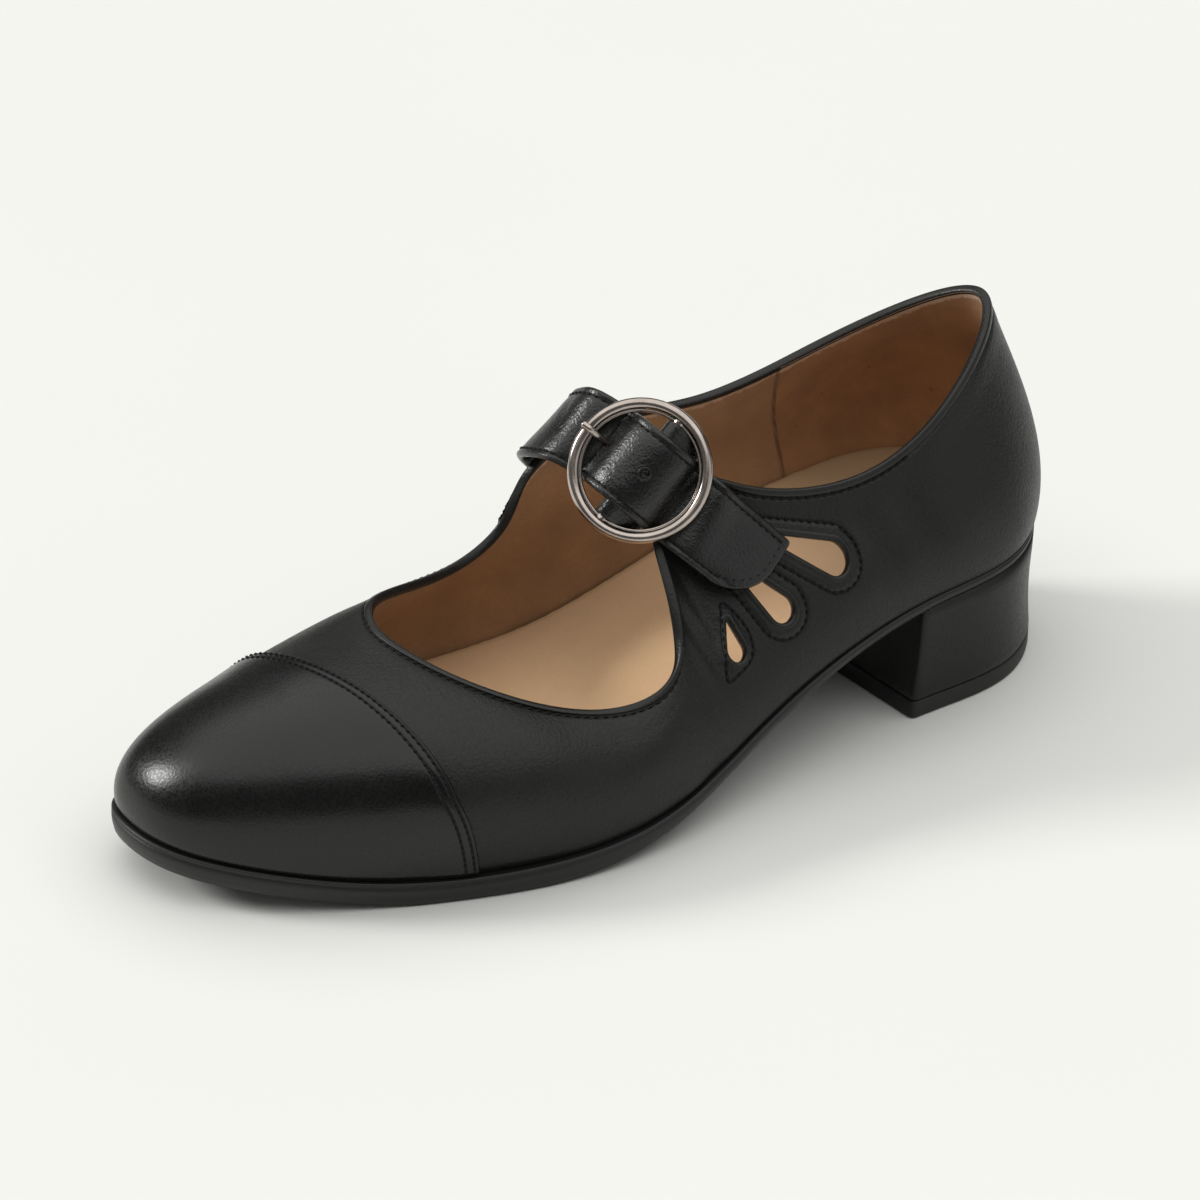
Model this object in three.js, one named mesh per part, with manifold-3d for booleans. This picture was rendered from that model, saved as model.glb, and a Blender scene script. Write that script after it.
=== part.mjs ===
// Mary jane pump, the left shoe of a pair: a round-toed leather pump on a low block heel, with
// three teardrop cut-outs on the outer side and an instep strap closed by a round buckle.
// Millimetres. +X runs to the toe, +Y to the wearer's left (the outer side), +Z up.
import * as THREE from 'three';
import { mergeVertices } from 'three/addons/utils/BufferGeometryUtils.js';
import Module from 'manifold-3d';

const wasm = await Module();
wasm.setup();

// ---- driving sizes ----
const WALL = 1.8;             // upper leather and lining together
const GAP = 0.3;              // clearance between neighbouring pieces
const MIDDLE_X = 122.6;       // from the back of the seat to the middle of the whole shoe
const MIDDLE_Y = 1.65;        // from the shoe's axis to the middle of its width
const INSOLE_THICKNESS = 2.6;
const HEEL_PIECE = 5.0;       // the wearing layer under the heel
const HEEL_LENGTH = 51;       // along its outer side, from the back to the breast
const HEEL_MIDDLE = 24;       // the heel narrows towards this x
const SEAT_OVERHANG = 4;      // the seat reaches this far behind the shoe's origin
const HEEL_TAPER = 0.01;      // how much narrower the heel is at the floor
const BREAST_SKEW = 8;        // the inner end of the breast reaches this much further forward
const BREAST_SLANT = 3.0;     // the breast reaches this much further forward at the floor
const CAP_THICKNESS = 1.0;    // the toe cap stands this proud of the vamp
const CAP_BEND = 29;          // below this height the toe cap's seam slopes back
const STRAP_WIDTH = 21;
const STRAP_THICKNESS = 2.0;
const TIP_CUT = [11, 6.4, 4.2, 2.6, 1.2, 0.4];  // how far the tip's front corner is rounded off
const RING_RADIUS = 16.3;     // to the middle of the wire
const RING_WIRE = 1.6;        // wire radius
const BAR_RADIUS = 1.1;
const BAR_DEPTH = 0.5;        // the bar sits this far behind the middle of the ring
const PRONG_RADIUS = 0.9;
const TAB_WIDTH = 25;
const TAB_THICKNESS = 1.1;
const PRONG_SLOT = { width: 3.4, length: 8.6, depth: 12 };

// Sections round the last, in order from the toe along the outer side to the back and home
// along the inner side. foot: where the upper meets the sole. top: the topline. out and up:
// how the wall leaves the sole. over and drop: how it arrives at the topline.
const SECTIONS = [
  { at: 'toe', foot: [248.5, -9], top: [179, -5, 47.5], out: 4.5, up: 22, over: 34, drop: 1.8 },
  { at: 'outer toe', foot: [242, 8.5], top: [175.5, 7.5, 46], out: 4.6, up: 22, over: 35, drop: -2 },
  { at: 'outer toe side', foot: [219.5, 25.5], top: [167, 19.5, 42.5], out: 4.8, up: 22, over: 30, drop: -1.5 },
  { at: 'outer vamp', foot: [189, 38.8], top: [154, 29.5, 38], out: 4.8, up: 21, over: 21, drop: 2.5 },
  { at: 'outer ball', foot: [163, 46.5], top: [138, 35.5, 35.5], out: 4.6, up: 20, over: 11, drop: 5.5 },
  { at: 'outer throat', foot: [140, 48.5], top: [123, 36, 40.5], out: 4.4, up: 18.5, over: 5, drop: 8 },
  { at: 'outer waist', foot: [119, 45.5], top: [116, 25.4, 54.6], out: 4.2, up: 19, over: 4, drop: 12 },
  { at: 'tab front', foot: [102, 41.7], top: [112, 11.2, 69.6], out: 4.1, up: 20, over: 4, drop: 15 },
  { at: 'tab rear', foot: [86, 38.7], top: [102, 10, 76.4], out: 4.4, up: 20, over: 4, drop: 16 },
  { at: 'outer quarter', foot: [68, 36.2], top: [87, 17.2, 71.5], out: 4.9, up: 19.5, over: 4.2, drop: 15 },
  { at: 'outer seat', foot: [42, 33.8], top: [58, 22, 69], out: 5.6, up: 18, over: 6, drop: 15 },
  { at: 'outer heel', foot: [13.5, 28.5], top: [28, 18, 82.5], out: 5.3, up: 19.5, over: 8.5, drop: 18 },
  { at: 'back', foot: [-4, 0.5], top: [7.2, -1, 95], out: 4.2, up: 21.5, over: 9, drop: 23 },
  { at: 'inner heel', foot: [14.5, -27.5], top: [26, -22, 83.6], out: 5.4, up: 19.5, over: 8, drop: 18 },
  { at: 'inner seat', foot: [43, -33], top: [53, -27, 75], out: 5.8, up: 19.5, over: 5, drop: 15 },
  { at: 'inner quarter', foot: [68, -33.2], top: [75, -27.2, 72.6], out: 5.8, up: 21, over: 3.8, drop: 15 },
  { at: 'inner strap rear', foot: [86, -32.8], top: [93, -27, 74.6], out: 5.8, up: 23, over: 3, drop: 15 },
  { at: 'inner strap front', foot: [102, -34], top: [110, -28, 74], out: 5.8, up: 23.5, over: 3, drop: 14 },
  { at: 'inner waist', foot: [119, -37], top: [124.5, -30.2, 64.5], out: 5.6, up: 22, over: 3, drop: 12 },
  { at: 'inner throat', foot: [140, -42], top: [130.5, -32, 51.3], out: 4.8, up: 19, over: 3.8, drop: 9.5 },
  { at: 'inner ball', foot: [167, -45], top: [142.5, -31.6, 44], out: 4, up: 18, over: 7.5, drop: 7.5 },
  { at: 'inner vamp', foot: [196, -41], top: [157.5, -28, 44.6], out: 3.8, up: 17, over: 13.5, drop: 7.8 },
  { at: 'inner toe side', foot: [226, -32], top: [172.5, -22, 48], out: 3.9, up: 17, over: 22, drop: 9 },
  { at: 'inner toe', foot: [244.5, -22.5], top: [178.3, -13.5, 48], out: 4.3, up: 20.5, over: 31, drop: 6.5 },
];

// The sole along the shoe: height of its upper face, its thickness, and how far its edge stands
// out from the upper.
const SOLE = [
  { x: -12, top: 36.9, thick: 3.0, edge: 0.0 },
  { x: 0, top: 36.9, thick: 3.0, edge: 0.0 },
  { x: 25, top: 36.0, thick: 3.0, edge: 0.0 },
  { x: 50, top: 33.8, thick: 3.0, edge: 0.2 },
  { x: 75, top: 28.8, thick: 3.2, edge: 0.6 },
  { x: 100, top: 20.3, thick: 3.5, edge: 1.0 },
  { x: 125, top: 11.3, thick: 4.3, edge: 1.4 },
  { x: 150, top: 7.4, thick: 6.0, edge: 1.8 },
  { x: 175, top: 6.3, thick: 6.6, edge: 2.0 },
  { x: 200, top: 7.0, thick: 6.7, edge: 2.0 },
  { x: 225, top: 11.0, thick: 6.4, edge: 2.0 },
  { x: 250, top: 16.1, thick: 6.4, edge: 2.0 },
  { x: 262, top: 18.2, thick: 6.4, edge: 2.0 },
];

// Teardrop cut-outs in the outer quarter, in side view: the point, the round end and its radius.
const DROPS = [
  { at: 'rear', point: [90, 62], end: [72.6, 53.3], radius: 3.7 },
  { at: 'middle', point: [99.8, 58.6], end: [89.9, 46], radius: 3.2 },
  { at: 'front', point: [104.2, 46.4], end: [104.5, 39.9], radius: 2.3 },
];

// The strap lies in a plane that leans back with the instep. side runs to the outer side, lift
// runs up in that plane from the middle of the buckle, and lean turns the width to follow the
// side of the shoe. shift moves the strap forward along its width.
const BUCKLE = new THREE.Vector3(114.4, 6.9, 80.1);
const STRAP_AXIS = new THREE.Vector3(0.75, 0, -0.66).normalize();
const STRAP_UP = new THREE.Vector3(0.66, 0, 0.75).normalize();
const STRAP = [
  { at: 'sewn end', side: -34.4, lift: -20, lean: -0.2, shift: 6.5 },
  { at: 'inner topline', side: -31.8, lift: -10, lean: -0.2, shift: 6.5 },
  { at: 'inner instep', side: -28.6, lift: -1.6, lean: -0.15, shift: 6.2 },
  { at: 'instep', side: -23.6, lift: 4.6, lean: -0.1, shift: 5.2 },
  { at: 'top of the instep', side: -17.2, lift: 7.9, lean: -0.04, shift: 3.2 },
  { at: 'inner ring', side: -10.6, lift: 8.0, lean: 0, shift: 1.2 },
  { at: 'inside the ring', side: -4.1, lift: 4.0, lean: 0, shift: 0.2 },
  { at: 'inner dome', side: 1.7, lift: 5.4, lean: 0, shift: 0 },
  { at: 'over the bar', side: 9.4, lift: 3.4, lean: 0, shift: 0 },
  { at: 'outer dome', side: 13.6, lift: -3.4, lean: 0, shift: 0 },
  { at: 'out of the dome', side: 14.5, lift: -9.5, lean: 0.04, shift: 0 },
  { at: 'outer ring', side: 20.1, lift: -14.0, lean: 0.14, shift: 0 },
  { at: 'outer quarter', side: 23.2, lift: -20.4, lean: 0.26, shift: 0 },
  { at: 'near the tip', side: 26.4, lift: -27.1, lean: 0.33, shift: 0 },
  { at: 'tip', side: 29.6, lift: -33.7, lean: 0.38, shift: 0 },
];

// ---- curves ----

// A smooth closed curve through one value per section, taken at any position round the shoe.
function roundCurve(values) {
  const n = values.length;
  const bend = new Array(n).fill(0);
  for (let pass = 0; pass < 60; pass++) {
    for (let i = 0; i < n; i++) {
      const before = (i + n - 1) % n;
      const after = (i + 1) % n;
      const jump = values[before] - 2 * values[i] + values[after];
      bend[i] = (6 * jump - bend[before] - bend[after]) / 4;
    }
  }
  return (u) => {
    const turn = ((u % n) + n) % n;
    const i = Math.floor(turn) % n;
    const j = (i + 1) % n;
    const b = turn - Math.floor(turn);
    const a = 1 - b;
    return a * values[i] + b * values[j] + ((a ** 3 - a) * bend[i] + (b ** 3 - b) * bend[j]) / 6;
  };
}

// A smooth open curve through values at rising stations.
function openCurve(stations, values) {
  const n = stations.length;
  const bend = new Array(n).fill(0);
  for (let pass = 0; pass < 80; pass++) {
    for (let i = 1; i < n - 1; i++) {
      const left = stations[i] - stations[i - 1];
      const right = stations[i + 1] - stations[i];
      const slopes = (values[i + 1] - values[i]) / right - (values[i] - values[i - 1]) / left;
      bend[i] = (6 * slopes - left * bend[i - 1] - right * bend[i + 1]) / (2 * (left + right));
    }
  }
  return (x) => {
    let i = 0;
    while (i < n - 2 && x > stations[i + 1]) i++;
    const step = stations[i + 1] - stations[i];
    const b = (x - stations[i]) / step;
    const a = 1 - b;
    const sag = ((a ** 3 - a) * bend[i] + (b ** 3 - b) * bend[i + 1]) * step * step / 6;
    return a * values[i] + b * values[i + 1] + sag;
  };
}

const ROUND = SECTIONS.length;
const footX = roundCurve(SECTIONS.map((s) => s.foot[0]));
const footY = roundCurve(SECTIONS.map((s) => s.foot[1]));
const topX = roundCurve(SECTIONS.map((s) => s.top[0]));
const topY = roundCurve(SECTIONS.map((s) => s.top[1]));
const topZ = roundCurve(SECTIONS.map((s) => s.top[2]));
const out = roundCurve(SECTIONS.map((s) => s.out));
const up = roundCurve(SECTIONS.map((s) => s.up));
const over = roundCurve(SECTIONS.map((s) => s.over));
const drop = roundCurve(SECTIONS.map((s) => s.drop));
const soleTop = openCurve(SOLE.map((s) => s.x), SOLE.map((s) => s.top));
const soleThick = openCurve(SOLE.map((s) => s.x), SOLE.map((s) => s.thick));
const soleEdge = openCurve(SOLE.map((s) => s.x), SOLE.map((s) => s.edge));

// The level direction straight out of the shoe's side at a point of the outline.
function outward(x, y) {
  const along = x - Math.min(Math.max(x, 30), 168);
  return new THREE.Vector3(along, y, 0).normalize();
}

// The last's surface: u runs round the shoe by section, t from the sole (0) to the topline (1).
function lastPoint(u, t) {
  const x = footX(u);
  const y = footY(u);
  const side = outward(x, y);
  const foot = new THREE.Vector3(x, y, soleTop(x));
  const top = new THREE.Vector3(topX(u), topY(u), topZ(u));
  const rise = foot.clone().addScaledVector(side, out(u));
  rise.z += up(u);
  const turn = top.clone().addScaledVector(side, over(u));
  turn.z -= drop(u);
  return new THREE.CubicBezierCurve3(foot, rise, turn, top).getPoint(t);
}

function lastNormal(u, t) {
  const du = 0.02;
  const dt = 0.01;
  const round = lastPoint(u + du, t).sub(lastPoint(u - du, t));
  const lo = Math.max(t - dt, 0);
  const hi = Math.min(t + dt, 1);
  return round.cross(lastPoint(u, hi).sub(lastPoint(u, lo))).normalize();
}

// A point of a layer that lies a given distance outside (or, below zero, inside) the last.
function layerPoint(u, t, distance) {
  return lastPoint(u, t).addScaledVector(lastNormal(u, t), distance);
}

// Where a section line with the given foot x lies, between two positions round the shoe.
function sectionAt(x, from, to) {
  let a = from;
  let b = to;
  const rising = footX(to) > footX(from);
  for (let pass = 0; pass < 40; pass++) {
    const middle = (a + b) / 2;
    if ((footX(middle) < x) === rising) a = middle;
    else b = middle;
  }
  return (a + b) / 2;
}

// ---- skins ----

class Skin {
  constructor() {
    this.corners = [];
  }

  triangle(a, b, c) {
    if (a.distanceTo(b) < 2e-3 || b.distanceTo(c) < 2e-3 || a.distanceTo(c) < 2e-3) return;
    this.corners.push(a.x, a.y, a.z, b.x, b.y, b.z, c.x, c.y, c.z);
  }

  quad(a, b, c, d) {
    this.triangle(a, b, c);
    this.triangle(a, c, d);
  }

  // Joins loops of points, each one above or outside the one before.
  loft(loops, closeEnds = false) {
    const count = loops.length;
    const n = loops[0].length;
    for (let k = 0; k < (closeEnds ? count : count - 1); k++) {
      const low = loops[k];
      const high = loops[(k + 1) % count];
      for (let i = 0; i < n; i++) {
        const j = (i + 1) % n;
        this.quad(low[i], low[j], high[j], high[i]);
      }
    }
  }

  // Closes a loop with strips from its outer side to its inner side.
  lid(loop, faceUp) {
    const n = loop.length;
    const last = loop.open ? n - 1 : n;
    for (let i = 0; i < Math.floor(last / 2); i++) {
      const a = loop[i];
      const b = loop[i + 1];
      const c = loop[(last - i - 1) % n];
      const d = loop[(last - i) % n];
      if (faceUp) this.quad(a, b, c, d);
      else this.quad(d, c, b, a);
    }
  }

  geometry() {
    const raw = new THREE.BufferGeometry();
    raw.setAttribute('position', new THREE.Float32BufferAttribute(this.corners, 3));
    return mergeVertices(raw, 1e-3);
  }
}

function toSolid(geometry) {
  const bare = new THREE.BufferGeometry();
  bare.setAttribute('position', geometry.getAttribute('position').clone());
  if (geometry.index) bare.setIndex(geometry.index.clone());
  const merged = mergeVertices(bare, 1e-3);
  return new wasm.Manifold(new wasm.Mesh({
    numProp: 3,
    vertProperties: new Float32Array(merged.getAttribute('position').array),
    triVerts: new Uint32Array(merged.index.array),
  }));
}

function toGeometry(solid) {
  const mesh = solid.getMesh();
  const geometry = new THREE.BufferGeometry();
  geometry.setAttribute('position', new THREE.BufferAttribute(new Float32Array(mesh.vertProperties), 3));
  geometry.setIndex(new THREE.BufferAttribute(new Uint32Array(mesh.triVerts), 1));
  return geometry;
}

// ---- upper ----

const AROUND = 4 * ROUND;     // columns round the shoe

function ringLoop(t, distance, columns = AROUND) {
  const loop = [];
  for (let i = 0; i < columns; i++) loop.push(layerPoint(i * ROUND / columns, t, distance));
  return loop;
}

// The lower edge of a layer sits level on the sole.
function footLoop(distance, columns = AROUND) {
  return ringLoop(0, distance, columns).map((p) => new THREE.Vector3(p.x, p.y, soleTop(p.x) + GAP));
}

// A prism across the outer quarter with a teardrop outline.
function dropPrism(drop) {
  const point = new THREE.Vector2(...drop.point);
  const end = new THREE.Vector2(...drop.end);
  const away = end.clone().sub(point);
  const length = away.length();
  const bearing = Math.atan2(away.y, away.x);
  const spread = Math.acos(drop.radius / length);
  const outline = [point];
  const turns = 9;
  for (let i = 0; i <= turns; i++) {
    const angle = bearing + Math.PI + spread + (2 * Math.PI - 2 * spread) * i / turns;
    outline.push(new THREE.Vector2(
      end.x + drop.radius * Math.cos(angle),
      end.y + drop.radius * Math.sin(angle),
    ));
  }
  const prism = new THREE.ExtrudeGeometry(new THREE.Shape(outline), {
    depth: 50,
    bevelEnabled: false,
    steps: 1,
  });
  prism.rotateX(Math.PI / 2);
  prism.translate(0, 60, 0);
  return prism;
}

function upperGeometry() {
  const loops = [footLoop(0)];
  for (const t of [0.06, 0.15, 0.26, 0.38, 0.5, 0.62, 0.74, 0.86, 0.95]) loops.push(ringLoop(t, 0));
  loops.push(ringLoop(1, -0.25));
  loops.push(ringLoop(1, 0.25 - WALL));
  for (const t of [0.9, 0.76, 0.6, 0.44, 0.28, 0.12]) loops.push(ringLoop(t, -WALL));
  loops.push(footLoop(-WALL));
  const skin = new Skin();
  skin.loft(loops, true);
  let solid = toSolid(skin.geometry());
  for (const drop of DROPS) solid = solid.subtract(toSolid(dropPrism(drop)));
  return toGeometry(solid);
}

// The toe cap: a layer over the vamp, cut off along a curved seam behind the toe.
function capGeometry() {
  const reach = 5;            // sections either side of the toe
  const columns = 8 * reach;
  const rows = [0, 0.06, 0.15, 0.26, 0.38, 0.5, 0.62, 0.74, 0.86, 0.95];
  const sheet = (distance) => rows.map((t) => {
    const line = [];
    for (let i = 0; i <= columns; i++) {
      const p = layerPoint(reach * (2 * i / columns - 1), t, distance);
      if (t === 0) p.z = soleTop(p.x) + GAP;
      line.push(p);
    }
    return line;
  });
  const inner = sheet(GAP);
  const outer = sheet(GAP + CAP_THICKNESS);
  const skin = new Skin();
  const bands = inner.map((line, k) => [...outer[k], ...line.slice().reverse()]);
  skin.loft(bands);
  const n = columns + 1;
  for (const [k, faceUp] of [[0, false], [rows.length - 1, true]]) {
    for (let i = 0; i < columns; i++) {
      const strip = [outer[k][i], outer[k][i + 1], inner[k][i + 1], inner[k][i]];
      if (faceUp) skin.quad(...strip);
      else skin.quad(...strip.reverse());
    }
  }
  const block = (low, high) => {
    const corners = [];
    for (const y of [-60, 60]) {
      for (const z of [low, high]) corners.push([capSeam(y, z), y, z], [300, y, z]);
    }
    return wasm.Manifold.hull(corners);
  };
  const front = block(0, CAP_BEND).add(block(CAP_BEND, 120));
  return toGeometry(toSolid(skin.geometry()).intersect(front));
}

// How far forward the toe cap's seam lies at a given distance from the axis and height: it slants
// back towards the outer side, and slopes back low down on the sides.
function capSeam(y, z) {
  return 197.3 - 0.266 * y - 0.2 * Math.max(CAP_BEND - z, 0);
}

// ---- sole, heel and insole ----

function outlineLoop(grow, height) {
  const loop = [];
  for (let i = 0; i < AROUND; i++) {
    const u = i * ROUND / AROUND;
    const foot = new THREE.Vector3(footX(u), footY(u), 0);
    const side = outward(foot.x, foot.y);
    foot.addScaledVector(side, grow(foot.x));
    foot.z = height(foot.x);
    loop.push(foot);
  }
  return loop;
}

function outsoleGeometry() {
  const bottom = (x) => Math.max(soleTop(x) - soleThick(x), 0);
  const level = (share, inset) => outlineLoop(
    (x) => soleEdge(x) - inset,
    (x) => bottom(x) + share * (soleTop(x) - bottom(x)),
  );
  const loops = [level(0, 1.6), level(0.18, 0.3), level(0.5, 0), level(0.86, 0.2), level(1, 0.9)];
  const skin = new Skin();
  skin.loft(loops);
  skin.lid(loops[0], false);
  skin.lid(loops[loops.length - 1], true);
  return skin.geometry();
}

function insoleGeometry() {
  const inset = () => -(WALL + 1.0);
  const loops = [
    outlineLoop(inset, (x) => soleTop(x) + GAP),
    outlineLoop(inset, (x) => soleTop(x) + GAP + INSOLE_THICKNESS - 0.5),
    outlineLoop(() => -(WALL + 1.5), (x) => soleTop(x) + GAP + INSOLE_THICKNESS),
  ];
  const skin = new Skin();
  skin.loft(loops);
  skin.lid(loops[0], false);
  skin.lid(loops[2], true);
  return skin.geometry();
}

// The heel's outline at a share of its height, from the outer breast corner round the back.
function heelLoop(share, height) {
  const breast = HEEL_LENGTH - SEAT_OVERHANG + BREAST_SLANT * (1 - share);
  const start = sectionAt(breast, 8, 12);
  const end = sectionAt(breast + BREAST_SKEW, 12, 16);
  const shrink = 1 - HEEL_TAPER * (1 - share);
  const steps = 28;
  const loop = [];
  for (let i = 0; i <= steps; i++) {
    const u = start + (end - start) * i / steps;
    const draw = 1 - HEEL_TAPER * (1 - share);
    let x = HEEL_MIDDLE + (footX(u) - HEEL_MIDDLE) * draw;
    if (i === 0) x = breast;
    if (i === steps) x = breast + BREAST_SKEW;
    const p = new THREE.Vector3(x, footY(u) * shrink, 0);
    p.z = height(p.x);
    loop.push(p);
  }
  loop.open = true;
  return loop;
}

function heelGeometry() {
  const roof = (x) => soleTop(x) - soleThick(x) - GAP;
  const floor = HEEL_PIECE + GAP;
  const loops = [
    heelLoop(0.15, () => floor),
    heelLoop(0.55, () => 19),
    heelLoop(1, roof),
  ];
  const skin = new Skin();
  skin.loft(loops);
  skin.lid(loops[0], false);
  skin.lid(loops[2], true);
  return skin.geometry();
}

function heelPieceGeometry() {
  const loops = [heelLoop(0, () => 0), heelLoop(0.15, () => HEEL_PIECE)];
  const skin = new Skin();
  skin.loft(loops);
  skin.lid(loops[0], false);
  skin.lid(loops[1], true);
  return skin.geometry();
}

// ---- strap and buckle ----

const strapStations = STRAP.map((_, i) => i);
const strapSide = openCurve(strapStations, STRAP.map((s) => s.side));
const strapLift = openCurve(strapStations, STRAP.map((s) => s.lift));
const strapLean = openCurve(strapStations, STRAP.map((s) => s.lean));
const strapShift = openCurve(strapStations, STRAP.map((s) => s.shift));

function strapCentre(s) {
  const p = BUCKLE.clone().addScaledVector(STRAP_UP, strapLift(s)).addScaledVector(STRAP_AXIS, strapShift(s));
  p.y = strapSide(s);
  return p;
}

// rear and front: how far the section reaches either side of the strap's middle.
function strapSection(s, rear, front, halfThickness) {
  const centre = strapCentre(s);
  const tangent = strapCentre(s + 0.05).sub(strapCentre(s - 0.05)).normalize();
  const width = STRAP_AXIS.clone();
  width.y += strapLean(s);
  width.addScaledVector(tangent, -width.dot(tangent)).normalize();
  const normal = width.clone().cross(tangent).normalize();
  const chamfer = 0.5;
  const outline = [
    [-rear, halfThickness - chamfer], [-rear + chamfer, halfThickness],
    [front - chamfer, halfThickness], [front, halfThickness - chamfer],
    [front, chamfer - halfThickness], [front - chamfer, -halfThickness],
    [-rear + chamfer, -halfThickness], [-rear, chamfer - halfThickness],
  ];
  return outline.map(([w, h]) => centre.clone().addScaledVector(width, w).addScaledVector(normal, h));
}

function ribbon(sections) {
  const skin = new Skin();
  skin.loft(sections);
  const fan = (loop, forward) => {
    for (let i = 1; i < loop.length - 1; i++) {
      if (forward) skin.triangle(loop[0], loop[i], loop[i + 1]);
      else skin.triangle(loop[0], loop[i + 1], loop[i]);
    }
  };
  fan(sections[0], false);
  fan(sections[sections.length - 1], true);
  return skin.geometry();
}

// The buckle's own frame: x along the bar, y along the strap to the outer side, z out.
const buckleFrame = new THREE.Matrix4().makeBasis(
  STRAP_AXIS,
  new THREE.Vector3(0, 0.8, 0).addScaledVector(STRAP_UP, -0.6),
  new THREE.Vector3(0, 0.6, 0).addScaledVector(STRAP_UP, 0.8),
).setPosition(BUCKLE);
if (buckleFrame.determinant() < 0) {
  buckleFrame.multiply(new THREE.Matrix4().makeScale(-1, 1, 1));
}

function inFrame(geometry) {
  return geometry.applyMatrix4(buckleFrame);
}

const PRONG_PATH = [
  [-2.0, -1.6], [-5, -2.4], [-7.5, -3.4], [-9.6, -3.3], [-11.2, -1.6], [-12.8, 0.6], [-14.6, 2.1],
  [-15.7, 2.8], [-17.7, 2.9],
].map(([y, z]) => new THREE.Vector3(0, y, z));

function rodAlong(points, radius, sides, steps) {
  const section = [];
  for (let i = 0; i < sides; i++) {
    const angle = 2 * Math.PI * i / sides;
    section.push(new THREE.Vector2(radius * Math.cos(angle), radius * Math.sin(angle)));
  }
  return new THREE.ExtrudeGeometry(new THREE.Shape(section), {
    extrudePath: new THREE.CatmullRomCurve3(points),
    steps,
    bevelEnabled: false,
  });
}

function strapGeometry() {
  const sections = [];
  const steps = 44;
  const end = STRAP.length - 1;
  for (let i = 0; i <= steps; i++) {
    const s = end * i / steps;
    const half = STRAP_WIDTH / 2;
    const cut = TIP_CUT[steps - i] ?? 0;
    sections.push(strapSection(s, half, half - cut, STRAP_THICKNESS / 2));
  }
  const slot = inFrame(rodAlong(PRONG_PATH, PRONG_RADIUS + 0.4, 10, 20));
  return toGeometry(toSolid(ribbon(sections)).subtract(toSolid(slot)));
}

function buckleGeometry() {
  const wire = new THREE.TorusGeometry(RING_RADIUS, RING_WIRE, 12, 56);
  const bar = new THREE.CylinderGeometry(BAR_RADIUS, BAR_RADIUS, 2 * RING_RADIUS, 14);
  bar.rotateZ(Math.PI / 2);
  bar.translate(0, 0, -BAR_DEPTH);
  return inFrame(toGeometry(toSolid(wire).add(toSolid(bar))));
}

function prongGeometry() {
  const eye = new THREE.TorusGeometry(BAR_RADIUS + GAP + 0.75, 0.75, 10, 24);
  eye.rotateY(Math.PI / 2);
  eye.translate(0, 0, -BAR_DEPTH);
  const rod = rodAlong(PRONG_PATH, PRONG_RADIUS, 10, 28);
  return inFrame(toGeometry(toSolid(eye).add(toSolid(rod))));
}

// The leather tab that carries the buckle: folded round the bar, its two ends on the quarter.
function tabGeometry() {
  const inside = BAR_RADIUS + GAP;
  const outside = inside + TAB_THICKNESS;
  const outline = new THREE.Shape();
  outline.moveTo(7.9, -4.5);
  outline.lineTo(8.8, -3.1);
  outline.lineTo(inside, outside - BAR_DEPTH - 0.5);
  outline.absarc(0, -BAR_DEPTH, outside, 1.05, 2 * Math.PI - 1.4, false);
  outline.closePath();
  const hole = new THREE.Path();
  hole.absarc(0, -BAR_DEPTH, inside, 0, 2 * Math.PI, true);
  outline.holes.push(hole);
  const tab = new THREE.ExtrudeGeometry(outline, {
    depth: TAB_WIDTH,
    bevelEnabled: false,
    curveSegments: 14,
  });
  // the outline's x is the strap's way and its y is outward; the depth runs along the bar
  tab.applyMatrix4(new THREE.Matrix4().makeBasis(
    new THREE.Vector3(0, 1, 0),
    new THREE.Vector3(0, 0, 1),
    new THREE.Vector3(1, 0, 0),
  ));
  tab.translate(-TAB_WIDTH / 2, 0, 0);
  // a slot lets the prong's eye through the fold
  const slot = new THREE.BoxGeometry(PRONG_SLOT.width, PRONG_SLOT.length, PRONG_SLOT.depth);
  slot.translate(0, -1.1, 0);
  return inFrame(toGeometry(toSolid(tab).subtract(toSolid(slot))));
}

// ---- the shoe ----

const LEATHER = { color: 0x141416, roughness: 0.42, metalness: 0 };
const shoe = new THREE.Group();
shoe.name = 'mary_jane_pump';

function addPiece(name, geometry, look) {
  geometry.deleteAttribute('uv');
  const mesh = new THREE.Mesh(geometry, new THREE.MeshStandardMaterial(look));
  mesh.name = name;
  mesh.position.set(-MIDDLE_X, -MIDDLE_Y, 0);
  shoe.add(mesh);
}

addPiece('upper', upperGeometry(), LEATHER);
addPiece('toe_cap', capGeometry(), LEATHER);
addPiece('outsole', outsoleGeometry(), { color: 0x101012, roughness: 0.5, metalness: 0 });
addPiece('insole', insoleGeometry(), { color: 0xd9ab84, roughness: 0.7, metalness: 0 });
addPiece('heel', heelGeometry(), { color: 0x131315, roughness: 0.4, metalness: 0 });
addPiece('heel_top_piece', heelPieceGeometry(), { color: 0x0e0e0f, roughness: 0.6, metalness: 0 });
addPiece('strap', strapGeometry(), LEATHER);
addPiece('buckle_frame', buckleGeometry(), { color: 0xc9c5be, roughness: 0.25, metalness: 1 });
addPiece('buckle_prong', prongGeometry(), { color: 0xc9c5be, roughness: 0.25, metalness: 1 });
addPiece('buckle_tab', tabGeometry(), LEATHER);

export default shoe;
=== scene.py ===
"""Mary jane pump, the left shoe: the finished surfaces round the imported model.

Everything below the settings is worked out in millimetres in the shoe's own frame, which starts
at the back of the seat: +X runs to the toe, +Y to the outer side and +Z up. place() turns that
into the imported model's frame, in metres.
"""
import math

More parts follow.
